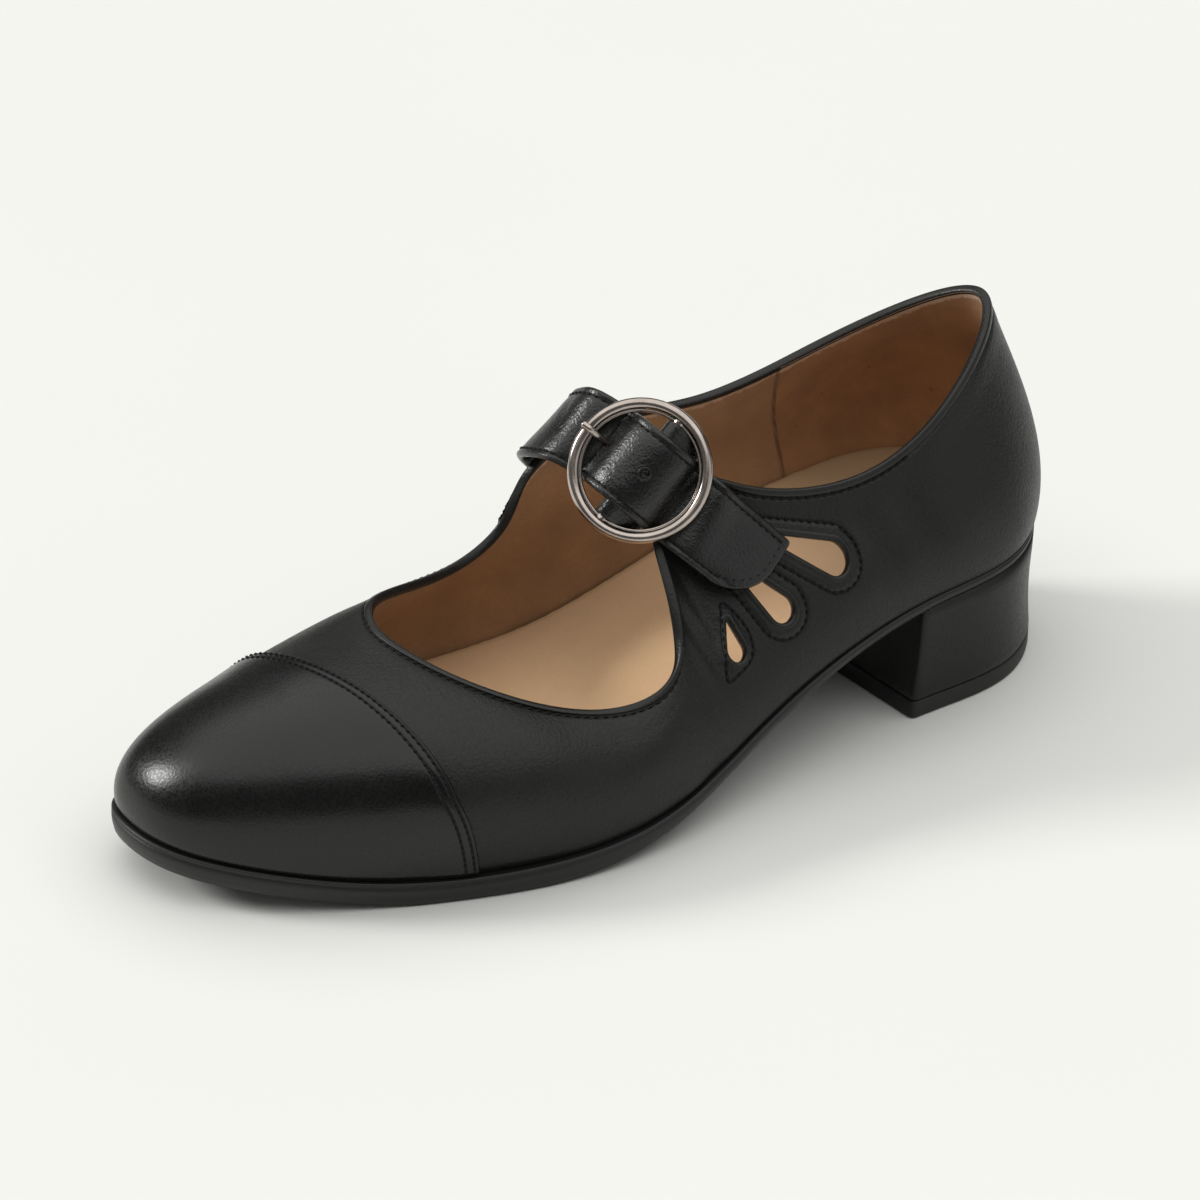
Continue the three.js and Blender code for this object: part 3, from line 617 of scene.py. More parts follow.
class Recipe:
    """A node material under construction."""

    def __init__(self, name):
        self.material = bpy.data.materials.new(name)
        self.material.use_nodes = True
        self.nodes = self.material.node_tree.nodes
        self.links = self.material.node_tree.links
        self.shader = self.nodes["Principled BSDF"]
        self.where = self.nodes.new("ShaderNodeTexCoord").outputs["Object"]

    def join(self, source, target):
        self.links.new(source, target)

    def noise(self, size_mm, detail=3.0, roughness=0.55, warp=0.0, where=None):
        node = self.nodes.new("ShaderNodeTexNoise")
        node.inputs["Scale"].default_value = 1 / (size_mm * MM)
        node.inputs["Detail"].default_value = detail
        node.inputs["Roughness"].default_value = roughness
        node.inputs["Distortion"].default_value = warp
        self.join(where or self.where, node.inputs["Vector"])
        return node.outputs["Fac"]

    def cells(self, size_mm, feature="F1", where=None):
        node = self.nodes.new("ShaderNodeTexVoronoi")
        node.feature = feature
        node.inputs["Scale"].default_value = 1 / (size_mm * MM)
        self.join(where or self.where, node.inputs["Vector"])
        return node.outputs["Distance"]

    def warped(self, size_mm, amount_mm):
        """Coordinates shifted by a soft noise, so that cells aren't regular."""
        node = self.nodes.new("ShaderNodeTexNoise")
        node.inputs["Scale"].default_value = 1 / (size_mm * MM)
        node.inputs["Detail"].default_value = 2
        self.join(self.where, node.inputs["Vector"])
        shift = self.nodes.new("ShaderNodeVectorMath")
        shift.operation = "MULTIPLY_ADD"
        self.join(node.outputs["Color"], shift.inputs[0])
        shift.inputs[1].default_value = (amount_mm * MM,) * 3
        self.join(self.where, shift.inputs[2])
        return shift.outputs[0]

    def stretched(self, scale):
        node = self.nodes.new("ShaderNodeMapping")
        node.inputs["Scale"].default_value = scale
        self.join(self.where, node.inputs["Vector"])
        return node.outputs["Vector"]

    def ramp(self, source, low, high, start=0.0, end=1.0):
        """Maps source from low..high onto start..end."""
        node = self.nodes.new("ShaderNodeMapRange")
        node.inputs["From Min"].default_value = low
        node.inputs["From Max"].default_value = high
        node.inputs["To Min"].default_value = start
        node.inputs["To Max"].default_value = end
        self.join(source, node.inputs["Value"])
        return node.outputs["Result"]

    def math(self, operation, a, b):
        node = self.nodes.new("ShaderNodeMath")
        node.operation = operation
        for socket, value in zip(node.inputs, (a, b)):
            if isinstance(value, (int, float)):
                socket.default_value = value
            else:
                self.join(value, socket)
        return node.outputs[0]

    def mix(self, share, a, b):
        node = self.nodes.new("ShaderNodeMix")
        node.data_type = "RGBA"
        self.join(share, node.inputs["Factor"])
        for socket, value in ((node.inputs[6], a), (node.inputs[7], b)):
            if isinstance(value, tuple):
                socket.default_value = value
            else:
                self.join(value, socket)
        return node.outputs[2]

    def measure(self, name):
        """A value that the mesh carries at each point."""
        node = self.nodes.new("ShaderNodeAttribute")
        node.attribute_name = name
        return node.outputs["Fac"]

    def bump(self, height, depth_mm, strength=1.0, under=None):
        node = self.nodes.new("ShaderNodeBump")
        node.inputs["Distance"].default_value = depth_mm * MM
        node.inputs["Strength"].default_value = strength
        self.join(height, node.inputs["Height"])
        if under is not None:
            self.join(under, node.inputs["Normal"])
        return node.outputs["Normal"]

    def dress(self, tone, roughness, normal):
        """Joins what a finish needs to the shader."""
        self.join(tone, self.shader.inputs["Base Color"])
        self.join(roughness, self.shader.inputs["Roughness"])
        self.join(normal, self.shader.inputs["Normal"])

    def set(self, **values):
        for name, value in values.items():
            self.shader.inputs[name.replace("_", " ")].default_value = value


def shade(colour, factor):
    return tuple(c * factor for c in tuple(colour)[:3]) + (1.0,)


def black_leather(name, colour, grain_mm, depth_mm, gloss, shine, waves):
    """Smooth calf: fine pebbles, faint wrinkles, a dull sheen with glossier high spots."""
    r = Recipe(name)
    where = r.warped(3.5, 0.7)
    pebbles = r.cells(grain_mm, "F1", where)
    creases = r.cells(grain_mm * 2.1, "DISTANCE_TO_EDGE", where)
    fine = r.noise(0.28, 2)
    patches = r.noise(16, 3)
    height = r.math("ADD", r.ramp(pebbles, 0.0, 0.75, 1.0, 0.0), r.ramp(creases, 0.0, 0.12, -0.5, 0.0))
    height = r.math("ADD", height, r.ramp(fine, 0.3, 0.7, -0.12, 0.12))
    soft = r.bump(r.noise(7, 2), waves, 0.4)
    normal = r.bump(height, depth_mm, 0.8, soft)
    tone = r.mix(r.ramp(patches, 0.3, 0.7), shade(colour, 0.8), shade(colour, 1.3))
    # painted shade: the grain's creases are darkened, standing in for the shade that falls into them
    tone = r.mix(r.ramp(creases, 0.0, 0.1, 0.35, 0.0), tone, shade(colour, 0.45))
    rough = r.math("ADD", r.ramp(patches, 0.3, 0.7, gloss - 0.04, gloss + 0.05),
                   r.ramp(pebbles, 0.1, 0.7, -0.02, 0.1))
    r.dress(tone, rough, normal)
    r.set(IOR=1.5, Specular_IOR_Level=shine)
    return r.material


def lining_leather(name, colour, grip):
    """Tan lining: fine grain in front, suede with specks behind the grip's seam, raw top edge."""
    r = Recipe(name)
    grain = r.noise(0.9, 4, 0.65, 0.4, r.stretched((1, 1, 2.2)))
    clouds = r.noise(14, 4)
    nap = r.noise(0.45, 4, 0.7)
    specks = r.ramp(r.cells(5.5, "F1", r.warped(4, 3)), 0.045, 0.11, 1.0, 0.0)
    front = r.mix(r.ramp(clouds, 0.3, 0.7), shade(colour, 0.86), shade(colour, 1.18))
    front = r.mix(r.ramp(grain, 0.35, 0.65, 0.4, 0.0), front, shade(colour, 0.7))
    back = r.mix(r.ramp(clouds, 0.3, 0.7), shade(grip, 0.82), shade(grip, 1.25))
    back = r.mix(r.ramp(nap, 0.35, 0.6, 0.35, 0.0), back, shade(grip, 0.65))
    back = r.mix(r.math("MULTIPLY", specks, 0.55), back, shade(grip, 0.4))
    tone = r.mix(r.measure("heel_grip"), front, back)
    ragged = r.math("ADD", r.measure("below_topline"), r.ramp(r.noise(2.4, 5, 0.75), 0.3, 0.7, -0.9, 0.9))
    raw = r.ramp(ragged, 2.0, 2.7, 0.85, 0.0)
    tone = r.mix(raw, tone, (0.62, 0.45, 0.33, 1))
    tone = r.mix(r.ramp(r.measure("grip_seam"), 0.25, 0.8, 0.75, 0.0), tone, shade(grip, 0.25))
    height = r.math("ADD", grain, r.math("MULTIPLY", nap, 0.6))
    r.dress(tone, r.ramp(r.measure("heel_grip"), 0, 1, 0.55, 0.9),
            r.bump(height, 0.12, 0.7, r.bump(r.noise(6, 3), 0.5, 0.5)))
    r.set(Sheen_Weight=0.12, Sheen_Roughness=0.5)
    return r.material


def insole_leather(name, colour):
    """Smooth peach sock leather with faint pores, darker at its edge and towards the heel: painted shade
    where the lining, quarters and strap shade it.
    """
    r = Recipe(name)
    pores = r.cells(0.75, "F1", r.warped(3, 0.6))
    clouds = r.noise(24, 3)
    fine = r.noise(0.8, 3)
    tone = r.mix(r.ramp(clouds, 0.3, 0.7), shade(colour, 0.93), shade(colour, 1.06))
    tone = r.mix(r.ramp(fine, 0.35, 0.65, 0.16, 0.0), tone, shade(colour, 0.78))
    # painted shade: the sock darkens within about 2 mm of its edge, where it meets the lining wall
    tone = r.mix(r.ramp(r.measure("from_edge"), 0.0, 2.2, 0.45, 0.0), tone, shade(colour, 0.55))
    # painted shade: the sock darkens towards the heel, standing in for the shade that the quarters and strap
    # cast there
    tone = r.mix(r.measure("painted_heel_shade"), tone, shade(colour, 0.5))
    r.dress(tone, r.ramp(clouds, 0.3, 0.7, 0.46, 0.58),
            r.bump(pores, 0.05, 0.6, r.bump(r.noise(9, 2), 0.5, 0.4)))
    r.set(IOR=1.45)
    return r.material


def moulded_rubber(name, colour, gloss):
    """Matt moulded rubber with a faint speckle."""
    r = Recipe(name)
    speckle = r.noise(0.35, 3, 0.6)
    patches = r.noise(18, 3)
    tone = r.mix(r.ramp(patches, 0.3, 0.7), shade(colour, 0.8), shade(colour, 1.25))
    rough = r.math("ADD", r.ramp(patches, 0.3, 0.7, gloss - 0.04, gloss + 0.05),
                   r.ramp(speckle, 0.3, 0.7, -0.03, 0.05))
    r.dress(tone, rough, r.bump(speckle, 0.03, 0.6))
    return r.material


def waxed_thread(name, colour):
    """Waxed thread: fine twist and a dull shine."""
    r = Recipe(name)
    twist = r.noise(0.22, 2)
    r.set(Specular_IOR_Level=0.25)
    tone = r.mix(r.ramp(twist, 0.35, 0.65), shade(colour, 0.7), shade(colour, 1.6))
    r.dress(tone, r.ramp(twist, 0.3, 0.7, 0.5, 0.7), r.bump(twist, 0.08, 0.6))
    return r.material


def satin_nickel(name, colour):
    """Polished nickel with a satin haze and a tone that varies in soft patches."""
    r = Recipe(name)
    haze = r.noise(6, 3)
    brushed = r.noise(0.6, 2)
    tone = r.mix(r.ramp(haze, 0.3, 0.7), shade(colour, 0.8), shade(colour, 1.1))
    rough = r.math("ADD", r.ramp(haze, 0.3, 0.7, 0.14, 0.2), r.ramp(brushed, 0.3, 0.7, 0.0, 0.04))
    r.dress(tone, rough, r.bump(brushed, 0.004, 0.3))
    r.set(Metallic=1.0)
    return r.material


MATERIALS = {}


def make_materials(colours, sizes):
    grain = sizes.grain_size / MM
    calf = colours.leather
    # name, colour, depth of the grain, gloss, shine, depth of the waves
    finishes = {
        "leather": ("black_calf", calf, 0.07, 0.36, 0.36, 0.3),
        "cap": ("black_calf_toe", shade(calf, 0.4), 0.016, 0.22, 0.42, 0.05),
        "strap": ("black_calf_strap", shade(calf, 0.6), 0.055, 0.24, 0.55, 0.08),
        "edge": ("black_folded_edge", calf, 0.04, 0.28, 0.4, 0.05),
        "heel": ("black_heel_cover", colours.heel_leather, 0.03, 0.34, 0.33, 0.1),
    }
    for key, (name, colour, depth, gloss, shine, waves) in finishes.items():
        MATERIALS[key] = black_leather(name, colour, grain, depth, gloss, shine, waves)
    MATERIALS["lining"] = lining_leather("tan_lining", colours.lining, colours.heel_grip)
    MATERIALS["insole"] = insole_leather("peach_sock_leather", colours.insole)
    MATERIALS["rubber"] = moulded_rubber("black_rubber_sole", colours.rubber, 0.44)
    MATERIALS["top_piece"] = moulded_rubber("black_top_piece", colours.rubber, 0.55)
    MATERIALS["thread"] = waxed_thread("black_thread", colours.thread)
    MATERIALS["metal"] = satin_nickel("satin_nickel", colours.metal)


# ---- the pieces ----

def even_stations(count, t, finer=1.0):
    """Positions round the shoe, evenly spaced at height t or finer where the cut-outs are."""
    u = np.linspace(0, ROUND, 4000)
    path = last_point(u, np.full_like(u, t))
    step = np.linalg.norm(np.diff(path, axis=0), axis=1)
    step = step * (1 + (finer - 1) * smooth(u[1:], 4.8, 6) * (1 - smooth(u[1:], 9.5, 10.5)))
    reach = np.concatenate([[0], np.cumsum(step)])
    return np.interp(np.linspace(0, reach[-1], count, endpoint=False), reach, u)


def cut_holes(uu, tt, grow):
    """A sheet's quads outside the cut-outs, with the rim's points moved onto the cut-outs' edges."""
    p = last_point(uu, tt)
    distance = np.full(p.shape[:2], 99.0)
    owner = np.zeros(p.shape[:2], int)
    drops = list(DROPS.values())
    for k, drop in enumerate(drops):
        d = np.where(p[..., 1] > 5, drop_distance(p[..., 0], p[..., 2], drop) - grow, 99.0)
        owner = np.where(d < distance, k, owner)
        distance = np.minimum(distance, d)
    inside = (distance < 0).ravel()
    faces = [f for f in strips(*uu.shape, around=True) if not all(inside[i] for i in f)]
    kept = np.zeros(inside.shape, bool)
    kept[np.unique(np.array(faces))] = True
    move = np.where(kept & inside)[0]
    fu, ft = uu.ravel().copy(), tt.ravel().copy()
    owner = owner.ravel()
    step = 1e-3
    # millimetres per unit of u and of t differ, so each is weighed by its own reach
    su, st = 22.0 ** -2, 55.0 ** -2
    for k, drop in enumerate(drops):
        m = move[owner[move] == k]

        def gap(a, b):
            q = last_point(a, b)
            return drop_distance(q[..., 0], q[..., 2], drop) - grow

        for _ in range(5):
            d = gap(fu[m], ft[m])
            gu = (gap(fu[m] + step, ft[m]) - d) / step
            gt = (gap(fu[m], ft[m] + step) - d) / step
            slope = su * gu * gu + st * gt * gt
            fu[m] -= d * su * gu / slope
            ft[m] -= d * st * gt / slope
    return fu, ft, faces


def make_outer_leather():
    """The vamp and quarters as one fine sheet with the three cut-outs."""
    uu, tt = np.meshgrid(even_stations(790, 0.55, 2.4), np.linspace(0, 1, 122) ** 0.93)
    u, t, faces = cut_holes(uu, tt, 0.0)
    points = skin(u, t)
    foot = tt.ravel() == 0
    points[foot, 2] = sole_top(points[foot, 0]) + 0.05
    new_piece("outer_leather", points, faces, MATERIALS["leather"], ("upper",),
              is_sheet=True)


def grip_seam(p):
    """Distance behind the seam where the suede heel grip starts."""
    return 47 + 0.12 * (p[..., 2] - 40) + 1.2 * np.sin(p[..., 2] * 0.11) - p[..., 0]


def make_lining():
    """The lining, with the suede grip round the back."""
    uu, tt = np.meshgrid(even_stations(620, 0.55), np.linspace(0, 0.996, 76))
    u, t, faces = cut_holes(uu, tt, 0.45)
    p = last_point(u, t)
    behind = grip_seam(p)
    depth = WALL + 0.28 * smooth(behind, -0.4, 0.4) - 0.5 * (1 - smooth(t, 0, 0.04))
    points = p - last_normal(u, t) * depth[:, None]
    foot = tt.ravel() == 0
    points[foot, 2] = sole_top(points[foot, 0]) + GAP
    below = np.linalg.norm(last_point(u, np.ones_like(t)) - p, axis=-1)
    new_piece("lining", points, [f[::-1] for f in faces], MATERIALS["lining"],
              attributes={
                  "below_topline": below,
                  "heel_grip": smooth(behind, -0.2, 0.2),
                  "grip_seam": np.abs(behind),
              }, is_sheet=True)


def rim_frame(u, t=1.0):
    """Along, out and up directions on the outer surface at the topline."""
    tt = np.full_like(u, t)
    point = last_point(u, tt)
    out = last_normal(u, tt)
    climb = unit(point - last_point(u, tt - 0.02))
    return point, out, climb


def make_topline():
    """The folded edge round the collar and throat."""
    u = even_stations(900, 1.0)
    point, out, climb = rim_frame(u)
    profile = smooth_ring([
        (0.0, -1.75), (0.24, -1.6), (0.34, -1.1), (0.32, -0.4), (0.08, 0.1), (-0.55, 0.24),
        (-1.25, 0.22), (-1.85, 0.0), (-2.1, -0.55), (-2.05, -1.2), (-1.75, -1.4), (-1.2, -0.9),
        (-0.6, -1.2), (-0.35, -1.7),
    ], 34)
    points, faces = sweep(point, out, climb, profile, closed=True)
    new_piece("topline_edge", points, faces, MATERIALS["edge"])


def make_cutout_edges():
    """A folded edge round each cut-out."""
    for name, drop in DROPS.items():
        ring = drop_outline(drop, 0.05, 150)
        u, t = outer_side(ring[:, 0], ring[:, 1])
        base = last_point(u, t)
        out = last_normal(u, t)
        way = unit(np.roll(base, -1, 0) - np.roll(base, 1, 0))
        away = unit(np.cross(out, way))
        middle = base.mean(0)
        if np.mean(np.sum(away * (base - middle), 1)) < 0:
            away = -away
        profile = smooth_ring([
            (1.5, 0.36), (0.8, 0.6), (0.2, 0.5), (-0.12, 0.1), (-0.2, -0.7), (-0.1, -1.5),
            (0.15, -2.0), (0.7, -2.05), (0.9, -1.6), (0.6, -0.9), (0.8, -0.2),
        ], 22)
        points, faces = sweep(base, away, out, profile, closed=True)
        new_piece(f"cutout_edge_{name}", points, faces, MATERIALS["edge"])


def make_toe_cap():
    """The toe cap with its raised folded edge."""
    columns, rows = 380, 120
    reach = 4.9
    u = np.linspace(-reach, reach, columns)
    limit = height_at_seam(u)
    on = limit > 0.004
    u = np.linspace(u[on][0], u[on][-1], columns)
    limit = height_at_seam(u)
    share = 1 - (1 - np.linspace(0, 1, rows)) ** 1.7
    tt = share[:, None] * limit[None, :]
    uu = np.broadcast_to(u, tt.shape)
    p = last_point(uu, tt)
    from_edge = np.maximum(p[..., 0] - cap_seam(p[..., 1], p[..., 2]), 0)
    lift = relief(uu, tt, p) + cap_lift(from_edge)
    points = p + last_normal(uu, tt) * lift[..., None]
    points[0, :, 2] = sole_top(points[0, :, 0]) + 0.05
    new_piece("toe_cap_leather", points.reshape(-1, 3), strips(rows, columns),
              MATERIALS["cap"], ("toe_cap",), is_sheet=True)


def make_stitching(sizes):
    """Every row of stitches on the upper."""
    topline = Stitches(sizes)
    u = even_stations(1200, 1.0)
    t = np.full_like(u, 0.9)
    for _ in range(8):
        below = np.linalg.norm(last_point(u, np.ones_like(u)) - last_point(u, t), axis=-1)
        t = np.clip(1 - (1 - t) * 2.3 / below, 0.3, 0.999)
    # the row runs round the throat and dies out behind the strap; the back has the fold's seam only
    u = np.where(u > AT["back"], u - ROUND, u)
    order = np.argsort(u)
    u, t = u[order], t[order]
    sewn = (u > AT["inner seat"] - ROUND + 0.2) & (u < AT["outer seat"] + 0.4)
    topline.row(skin(u[sewn], t[sewn], 0.1), last_normal(u[sewn], t[sewn]))
    topline.finish("topline_stitching", MATERIALS["thread"])

    drops = Stitches(sizes)
    for name, drop in DROPS.items():
        ring = smooth_ring(LEAF, 160) if name == "front" else drop_outline(drop, 3.6, 160)
        ring = np.vstack([ring, ring[:1]])
        u, t = outer_side(ring[:, 0], ring[:, 1])
        drops.row(skin(u, t, 0.1), last_normal(u, t), pitch=2.1)
    drops.finish("cutout_stitching", MATERIALS["thread"])

    cap = Stitches(sizes)
    for row in CAP_ROWS:
        u = np.linspace(-4.9, 4.9, 800)
        t = height_at_seam(u, row)
        u, t = u[t > 0.02], t[t > 0.02]
        lift = cap_lift(np.full_like(u, row)) + 0.06
        cap.row(skin(u, t, lift), last_normal(u, t), pitch=2.0)
    cap.finish("toe_cap_stitching", MATERIALS["thread"])

    seam = Stitches(sizes)
    for behind in (1.6, 3.4):
        t = np.linspace(0.04, 0.93, 200)
        low, high = np.full_like(t, 18.0), np.full_like(t, 21.0)
        for _ in range(30):
            middle = (low + high) / 2
            back = side_seam(last_point(middle, t)) > behind
            low, high = np.where(back, middle, low), np.where(back, high, middle)
        seam.row(skin(low, t, 0.06), last_normal(low, t), pitch=2.0)
    seam.finish("side_seam_stitching", MATERIALS["thread"])


def outline(u, grow, height):
    """A loop round the sole: grow moves it out, height gives z from x."""
    x, y = foot_x(u), foot_y(u)
    side = outward(x, y)
    p = np.stack([x, y, np.zeros_like(x)], -1) + side * np.asarray(grow(x))[..., None]
    p[..., 2] = height(p[..., 0])
    return p


def lids(columns, row, flip):
    """Strips that close a loop from its outer side to its inner side."""
    start = row * columns
    faces = []
    for i in range(columns // 2):
        a, b = start + i, start + i + 1
        c, d = start + (columns - i - 1) % columns, start + (columns - i) % columns
        quad = tuple(dict.fromkeys((a, b, c, d)))
        if len(quad) > 2:
            faces.append(quad[::-1] if flip else quad)
    return faces


def make_outsole():
    """The moulded sole with its lip, groove and rounded edge."""
    u = even_stations(560, 0.0)
    bottom = lambda x: np.maximum(sole_top(x) - sole_thick(x), 0)
    # inset from the edge, and share of the thickness or a drop from the top
    profile = (
        (9.0, "low", 0.0), (4.0, "low", 0.0), (1.7, "low", 0.0), (0.9, "low", 0.12), (0.4, "low", 0.4),
        (0.12, "share", 0.3), (0.0, "share", 0.5), (0.05, "top", 1.75), (0.3, "top", 1.5),
        (0.42, "top", 1.3), (0.3, "top", 1.1), (0.1, "top", 0.85), (0.12, "top", 0.5),
        (0.35, "top", 0.2), (0.8, "top", 0.05), (2.2, "top", 0.05), (6.0, "top", 0.0),
    )
    loops = []
    for inset, kind, value in profile:
        def height(x, kind=kind, value=value):
            low, high = bottom(x), sole_top(x)
            thin = np.clip((high - low) / 5.5, 0.4, 1)
            if kind == "low":
                return low + value * thin
            if kind == "share":
                return low + value * (high - low)
            return high - value * thin
        loops.append(outline(u, lambda x, inset=inset: sole_edge(x) - inset, height))
    columns = len(u)
    points, faces = loft(loops, caps=False)
    faces += lids(columns, 0, True) + lids(columns, len(loops) - 1, False)
    new_piece("outsole_rubber", points, faces, MATERIALS["rubber"], ("outsole",))


def make_insole():
    """The sock: slightly cupped, its edge rounded against the lining."""
    u = even_stations(4000, 0.0)
    edge = outline(u, lambda x: np.full_like(x, -(WALL + 0.1)), sole_top)
    outer = edge[u < AT["back"]]
    inner = edge[u >= AT["back"]]
    low_x, high_x = edge[:, 0].min() + 0.02, edge[:, 0].max() - 0.02
    rows, columns = 220, 44
    x = (low_x + high_x) / 2 - (high_x - low_x) / 2 * np.cos(np.linspace(0.02, math.pi - 0.02, rows))
    order = np.argsort(outer[:, 0])
    y_out = np.interp(x, outer[order, 0], outer[order, 1])
    order = np.argsort(inner[:, 0])
    y_in = np.interp(x, inner[order, 0], inner[order, 1])
    w = -np.cos(np.linspace(0, math.pi, columns))
    middle, half = (y_out + y_in) / 2, (y_out - y_in) / 2
    px = np.repeat(x[:, None], columns, 1)
    py = middle[:, None] + half[:, None] * w[None, :]
    tree = np.stack([edge[:, 0], edge[:, 1]], 1)[::8]
    flat = np.stack([px.ravel(), py.ravel()], 1)
    from_edge = np.sqrt(((flat[:, None, :] - tree[None, :, :]) ** 2).sum(-1).min(1)).reshape(px.shape)
    cup = 0.9 * (1 - smooth(from_edge, 0, 16)) - 0.5 * (1 - smooth(from_edge, 0.0, 1.3))
    heel_dent = 0.5 * np.exp(-(((px - 24) / 16) ** 2 + (py / 12) ** 2))
    ball_dent = 0.5 * np.exp(-(((px - 168) / 24) ** 2 + (py / 20) ** 2))
    pz = sole_top(px) + GAP + INSOLE_THICKNESS - 0.35 + cup - heel_dent - ball_dent
    top = np.stack([px, py, pz], -1).reshape(-1, 3)
    under = top.copy()
    under[:, 2] = sole_top(under[:, 0]) + GAP
    faces = strips(rows, columns)
    count = rows * columns
    faces = [f[::-1] for f in faces] + [tuple(i + count for i in f) for f in faces]
    border = ([r * columns for r in range(rows)] + [(rows - 1) * columns + c for c in range(1, columns)]
              + [r * columns + columns - 1 for r in range(rows - 2, -1, -1)]
              + [c for c in range(columns - 2, 0, -1)])
    for a, b in zip(border, border[1:] + border[:1]):
        faces.append((a, b, b + count, a + count))
    new_piece("sock", np.vstack([top, under]), faces, MATERIALS["insole"], ("insole",),
              attributes={
                  "from_edge": np.concatenate([from_edge.ravel(), np.zeros(count)]),
                  # painted shade mask: 1 at the heel, fading out by x 75, where the quarters and strap shade
                  # the sock
                  "painted_heel_shade": np.concatenate([1 - smooth(px.ravel(), 35, 75), np.zeros(count)]),
              })


def section_at(x, low, high):
    """Where the outline has a given x, between two positions round the shoe."""
    rising = foot_x(np.array(high)) > foot_x(np.array(low))
    for _ in range(40):
        middle = (low + high) / 2
        if (foot_x(np.array(middle)) < x) == rising:
            low = middle
        else:
            high = middle
    return (low + high) / 2


def heel_ring(share, inset, count=300):
    """The heel's outline at a share of its height, its breast corners rounded."""
    breast = HEEL_LENGTH - SEAT_OVERHANG + BREAST_SLANT * (1 - share)
    start = section_at(breast, AT["back"] - 4.0, float(AT["back"]))
    end = section_at(breast + BREAST_SKEW, float(AT["back"]), AT["back"] + 4.0)
    u = np.linspace(start, end, 240)
    shrink = 1 - HEEL_TAPER * (1 - share)
    x = HEEL_MIDDLE + (foot_x(u) - HEEL_MIDDLE) * shrink
    x[0], x[-1] = breast, breast + BREAST_SKEW
    side = np.stack([x, foot_y(u) * shrink], 1)
    breast_line = np.linspace(side[-1], side[0], 80)[1:]
    ring = resample(np.vstack([side, breast_line]), count, closed=True)
    ring = softened(ring, 5)
    way = unit(np.roll(ring, -1, 0) - np.roll(ring, 1, 0))
    inward = np.stack([-way[:, 1], way[:, 0]], 1)
    if np.sum(inward * (ring.mean(0) - ring)) < 0:
        inward = -inward
    return ring + inward * inset


def under_sole(x):
    """Where the heel meets the underside of the sole."""
    return sole_top(x) - sole_thick(x) - 0.02


def heel_block(name, levels, material, node):
    """A lofted block: each level is a share of the height, an inset and a height (None: the sole)."""
    loops = []
    for share, inset, height in levels:
        ring = heel_ring(share, inset)
        z = under_sole(ring[:, 0]) if height is None else np.full(len(ring), height)
        loops.append(np.column_stack([ring, z]))
    points, faces = loft(loops, caps=False)
    columns = len(loops[0])
    centre_low, centre_high = loops[0].mean(0), loops[-1].mean(0)
    points = np.vstack([points, centre_low, centre_high])
    first, last = len(points) - 2, len(points) - 1
    top = (len(loops) - 1) * columns
    for i in range(columns):
        j = (i + 1) % columns
        faces.append((first, j, i))
        faces.append((last, top + i, top + j))
    new_piece(name, points, faces, material, (node,))


def make_heel():
    """The covered heel block and the top piece under it."""
    floor = HEEL_PIECE + 0.12
    levels = [(0.15, 0.7, floor), (0.15, 0.25, floor + 0.15), (0.16, 0.0, floor + 0.7)]
    for k in range(1, 12):
        share = k / 12
        levels.append((0.16 + 0.8 * share, 0.6 * math.sin(math.pi * share), floor + 26.0 * share))
    levels += [(1, 0.0, None), (1, 3.0, None)]
    heel_block("heel_cover", levels, MATERIALS["heel"], "heel")
    levels = [(0, 2.0, 0.0), (0, 0.5, 0.02), (0, 0.1, 0.35), (0.02, 0.0, 1.0), (0.12, 0.0, 4.4),
              (0.14, 0.12, 4.85), (0.15, 0.5, 5.0)]
    heel_block("top_piece", levels, MATERIALS["top_piece"], "heel_top_piece")


# ---- strap ----

stations = np.arange(len(STRAP))
strap_side, strap_lift, strap_lean, strap_shift = (
    open_curve(stations, column) for column in zip(*STRAP.values()))
STRAP_END = len(STRAP) - 1
STRAP_START = 0.55          # where the oblique seam joins the strap to the inner quarter


def strap_centre(s):
    s = np.asarray(s, float)
    p = BUCKLE + STRAP_UP * strap_lift(s)[..., None] + STRAP_AXIS * strap_shift(s)[..., None]
    p[..., 1] = strap_side(s)
    return p


def strap_frame(s):
    """Centre, width direction and outward direction of the strap at a station."""
    centre = strap_centre(s)
    way = unit(strap_centre(s + 0.05) - strap_centre(s - 0.05))
    width = np.broadcast_to(STRAP_AXIS, centre.shape).copy()
    width[..., 1] += strap_lean(s)
    width = unit(width - way * np.sum(width * way, -1, keepdims=True))
    return centre, width, unit(np.cross(width, way))


def strap_stop(w):
    """The station where the strap ends, across its width: rounded in front, square behind."""
    per_mm = 1 / 7.3
    front = np.clip((w + 2.0) / 12.5, 0, 1)
    rear = np.clip((-w - 9.3) / 1.2, 0, 1)
    cut = 14 * (1 - np.sqrt(1 - 0.97 * front ** 2)) + 1.2 * (1 - np.sqrt(1 - 0.98 * rear ** 2))
    return STRAP_END + 0.1 - cut * per_mm


def strap_start(w):
    """The station where the strap begins: an oblique seam across the inner quarter."""
    return STRAP_START - 0.035 * w


def strap_point(s, w, h):
    """A point of the strap: station, distance across and distance out of its middle layer."""
    centre, width, out = strap_frame(s)
    return centre + width * np.asarray(w)[..., None] + out * np.asarray(h)[..., None]


SPARE_HOLE = 8.25           # station of the strap's spare hole


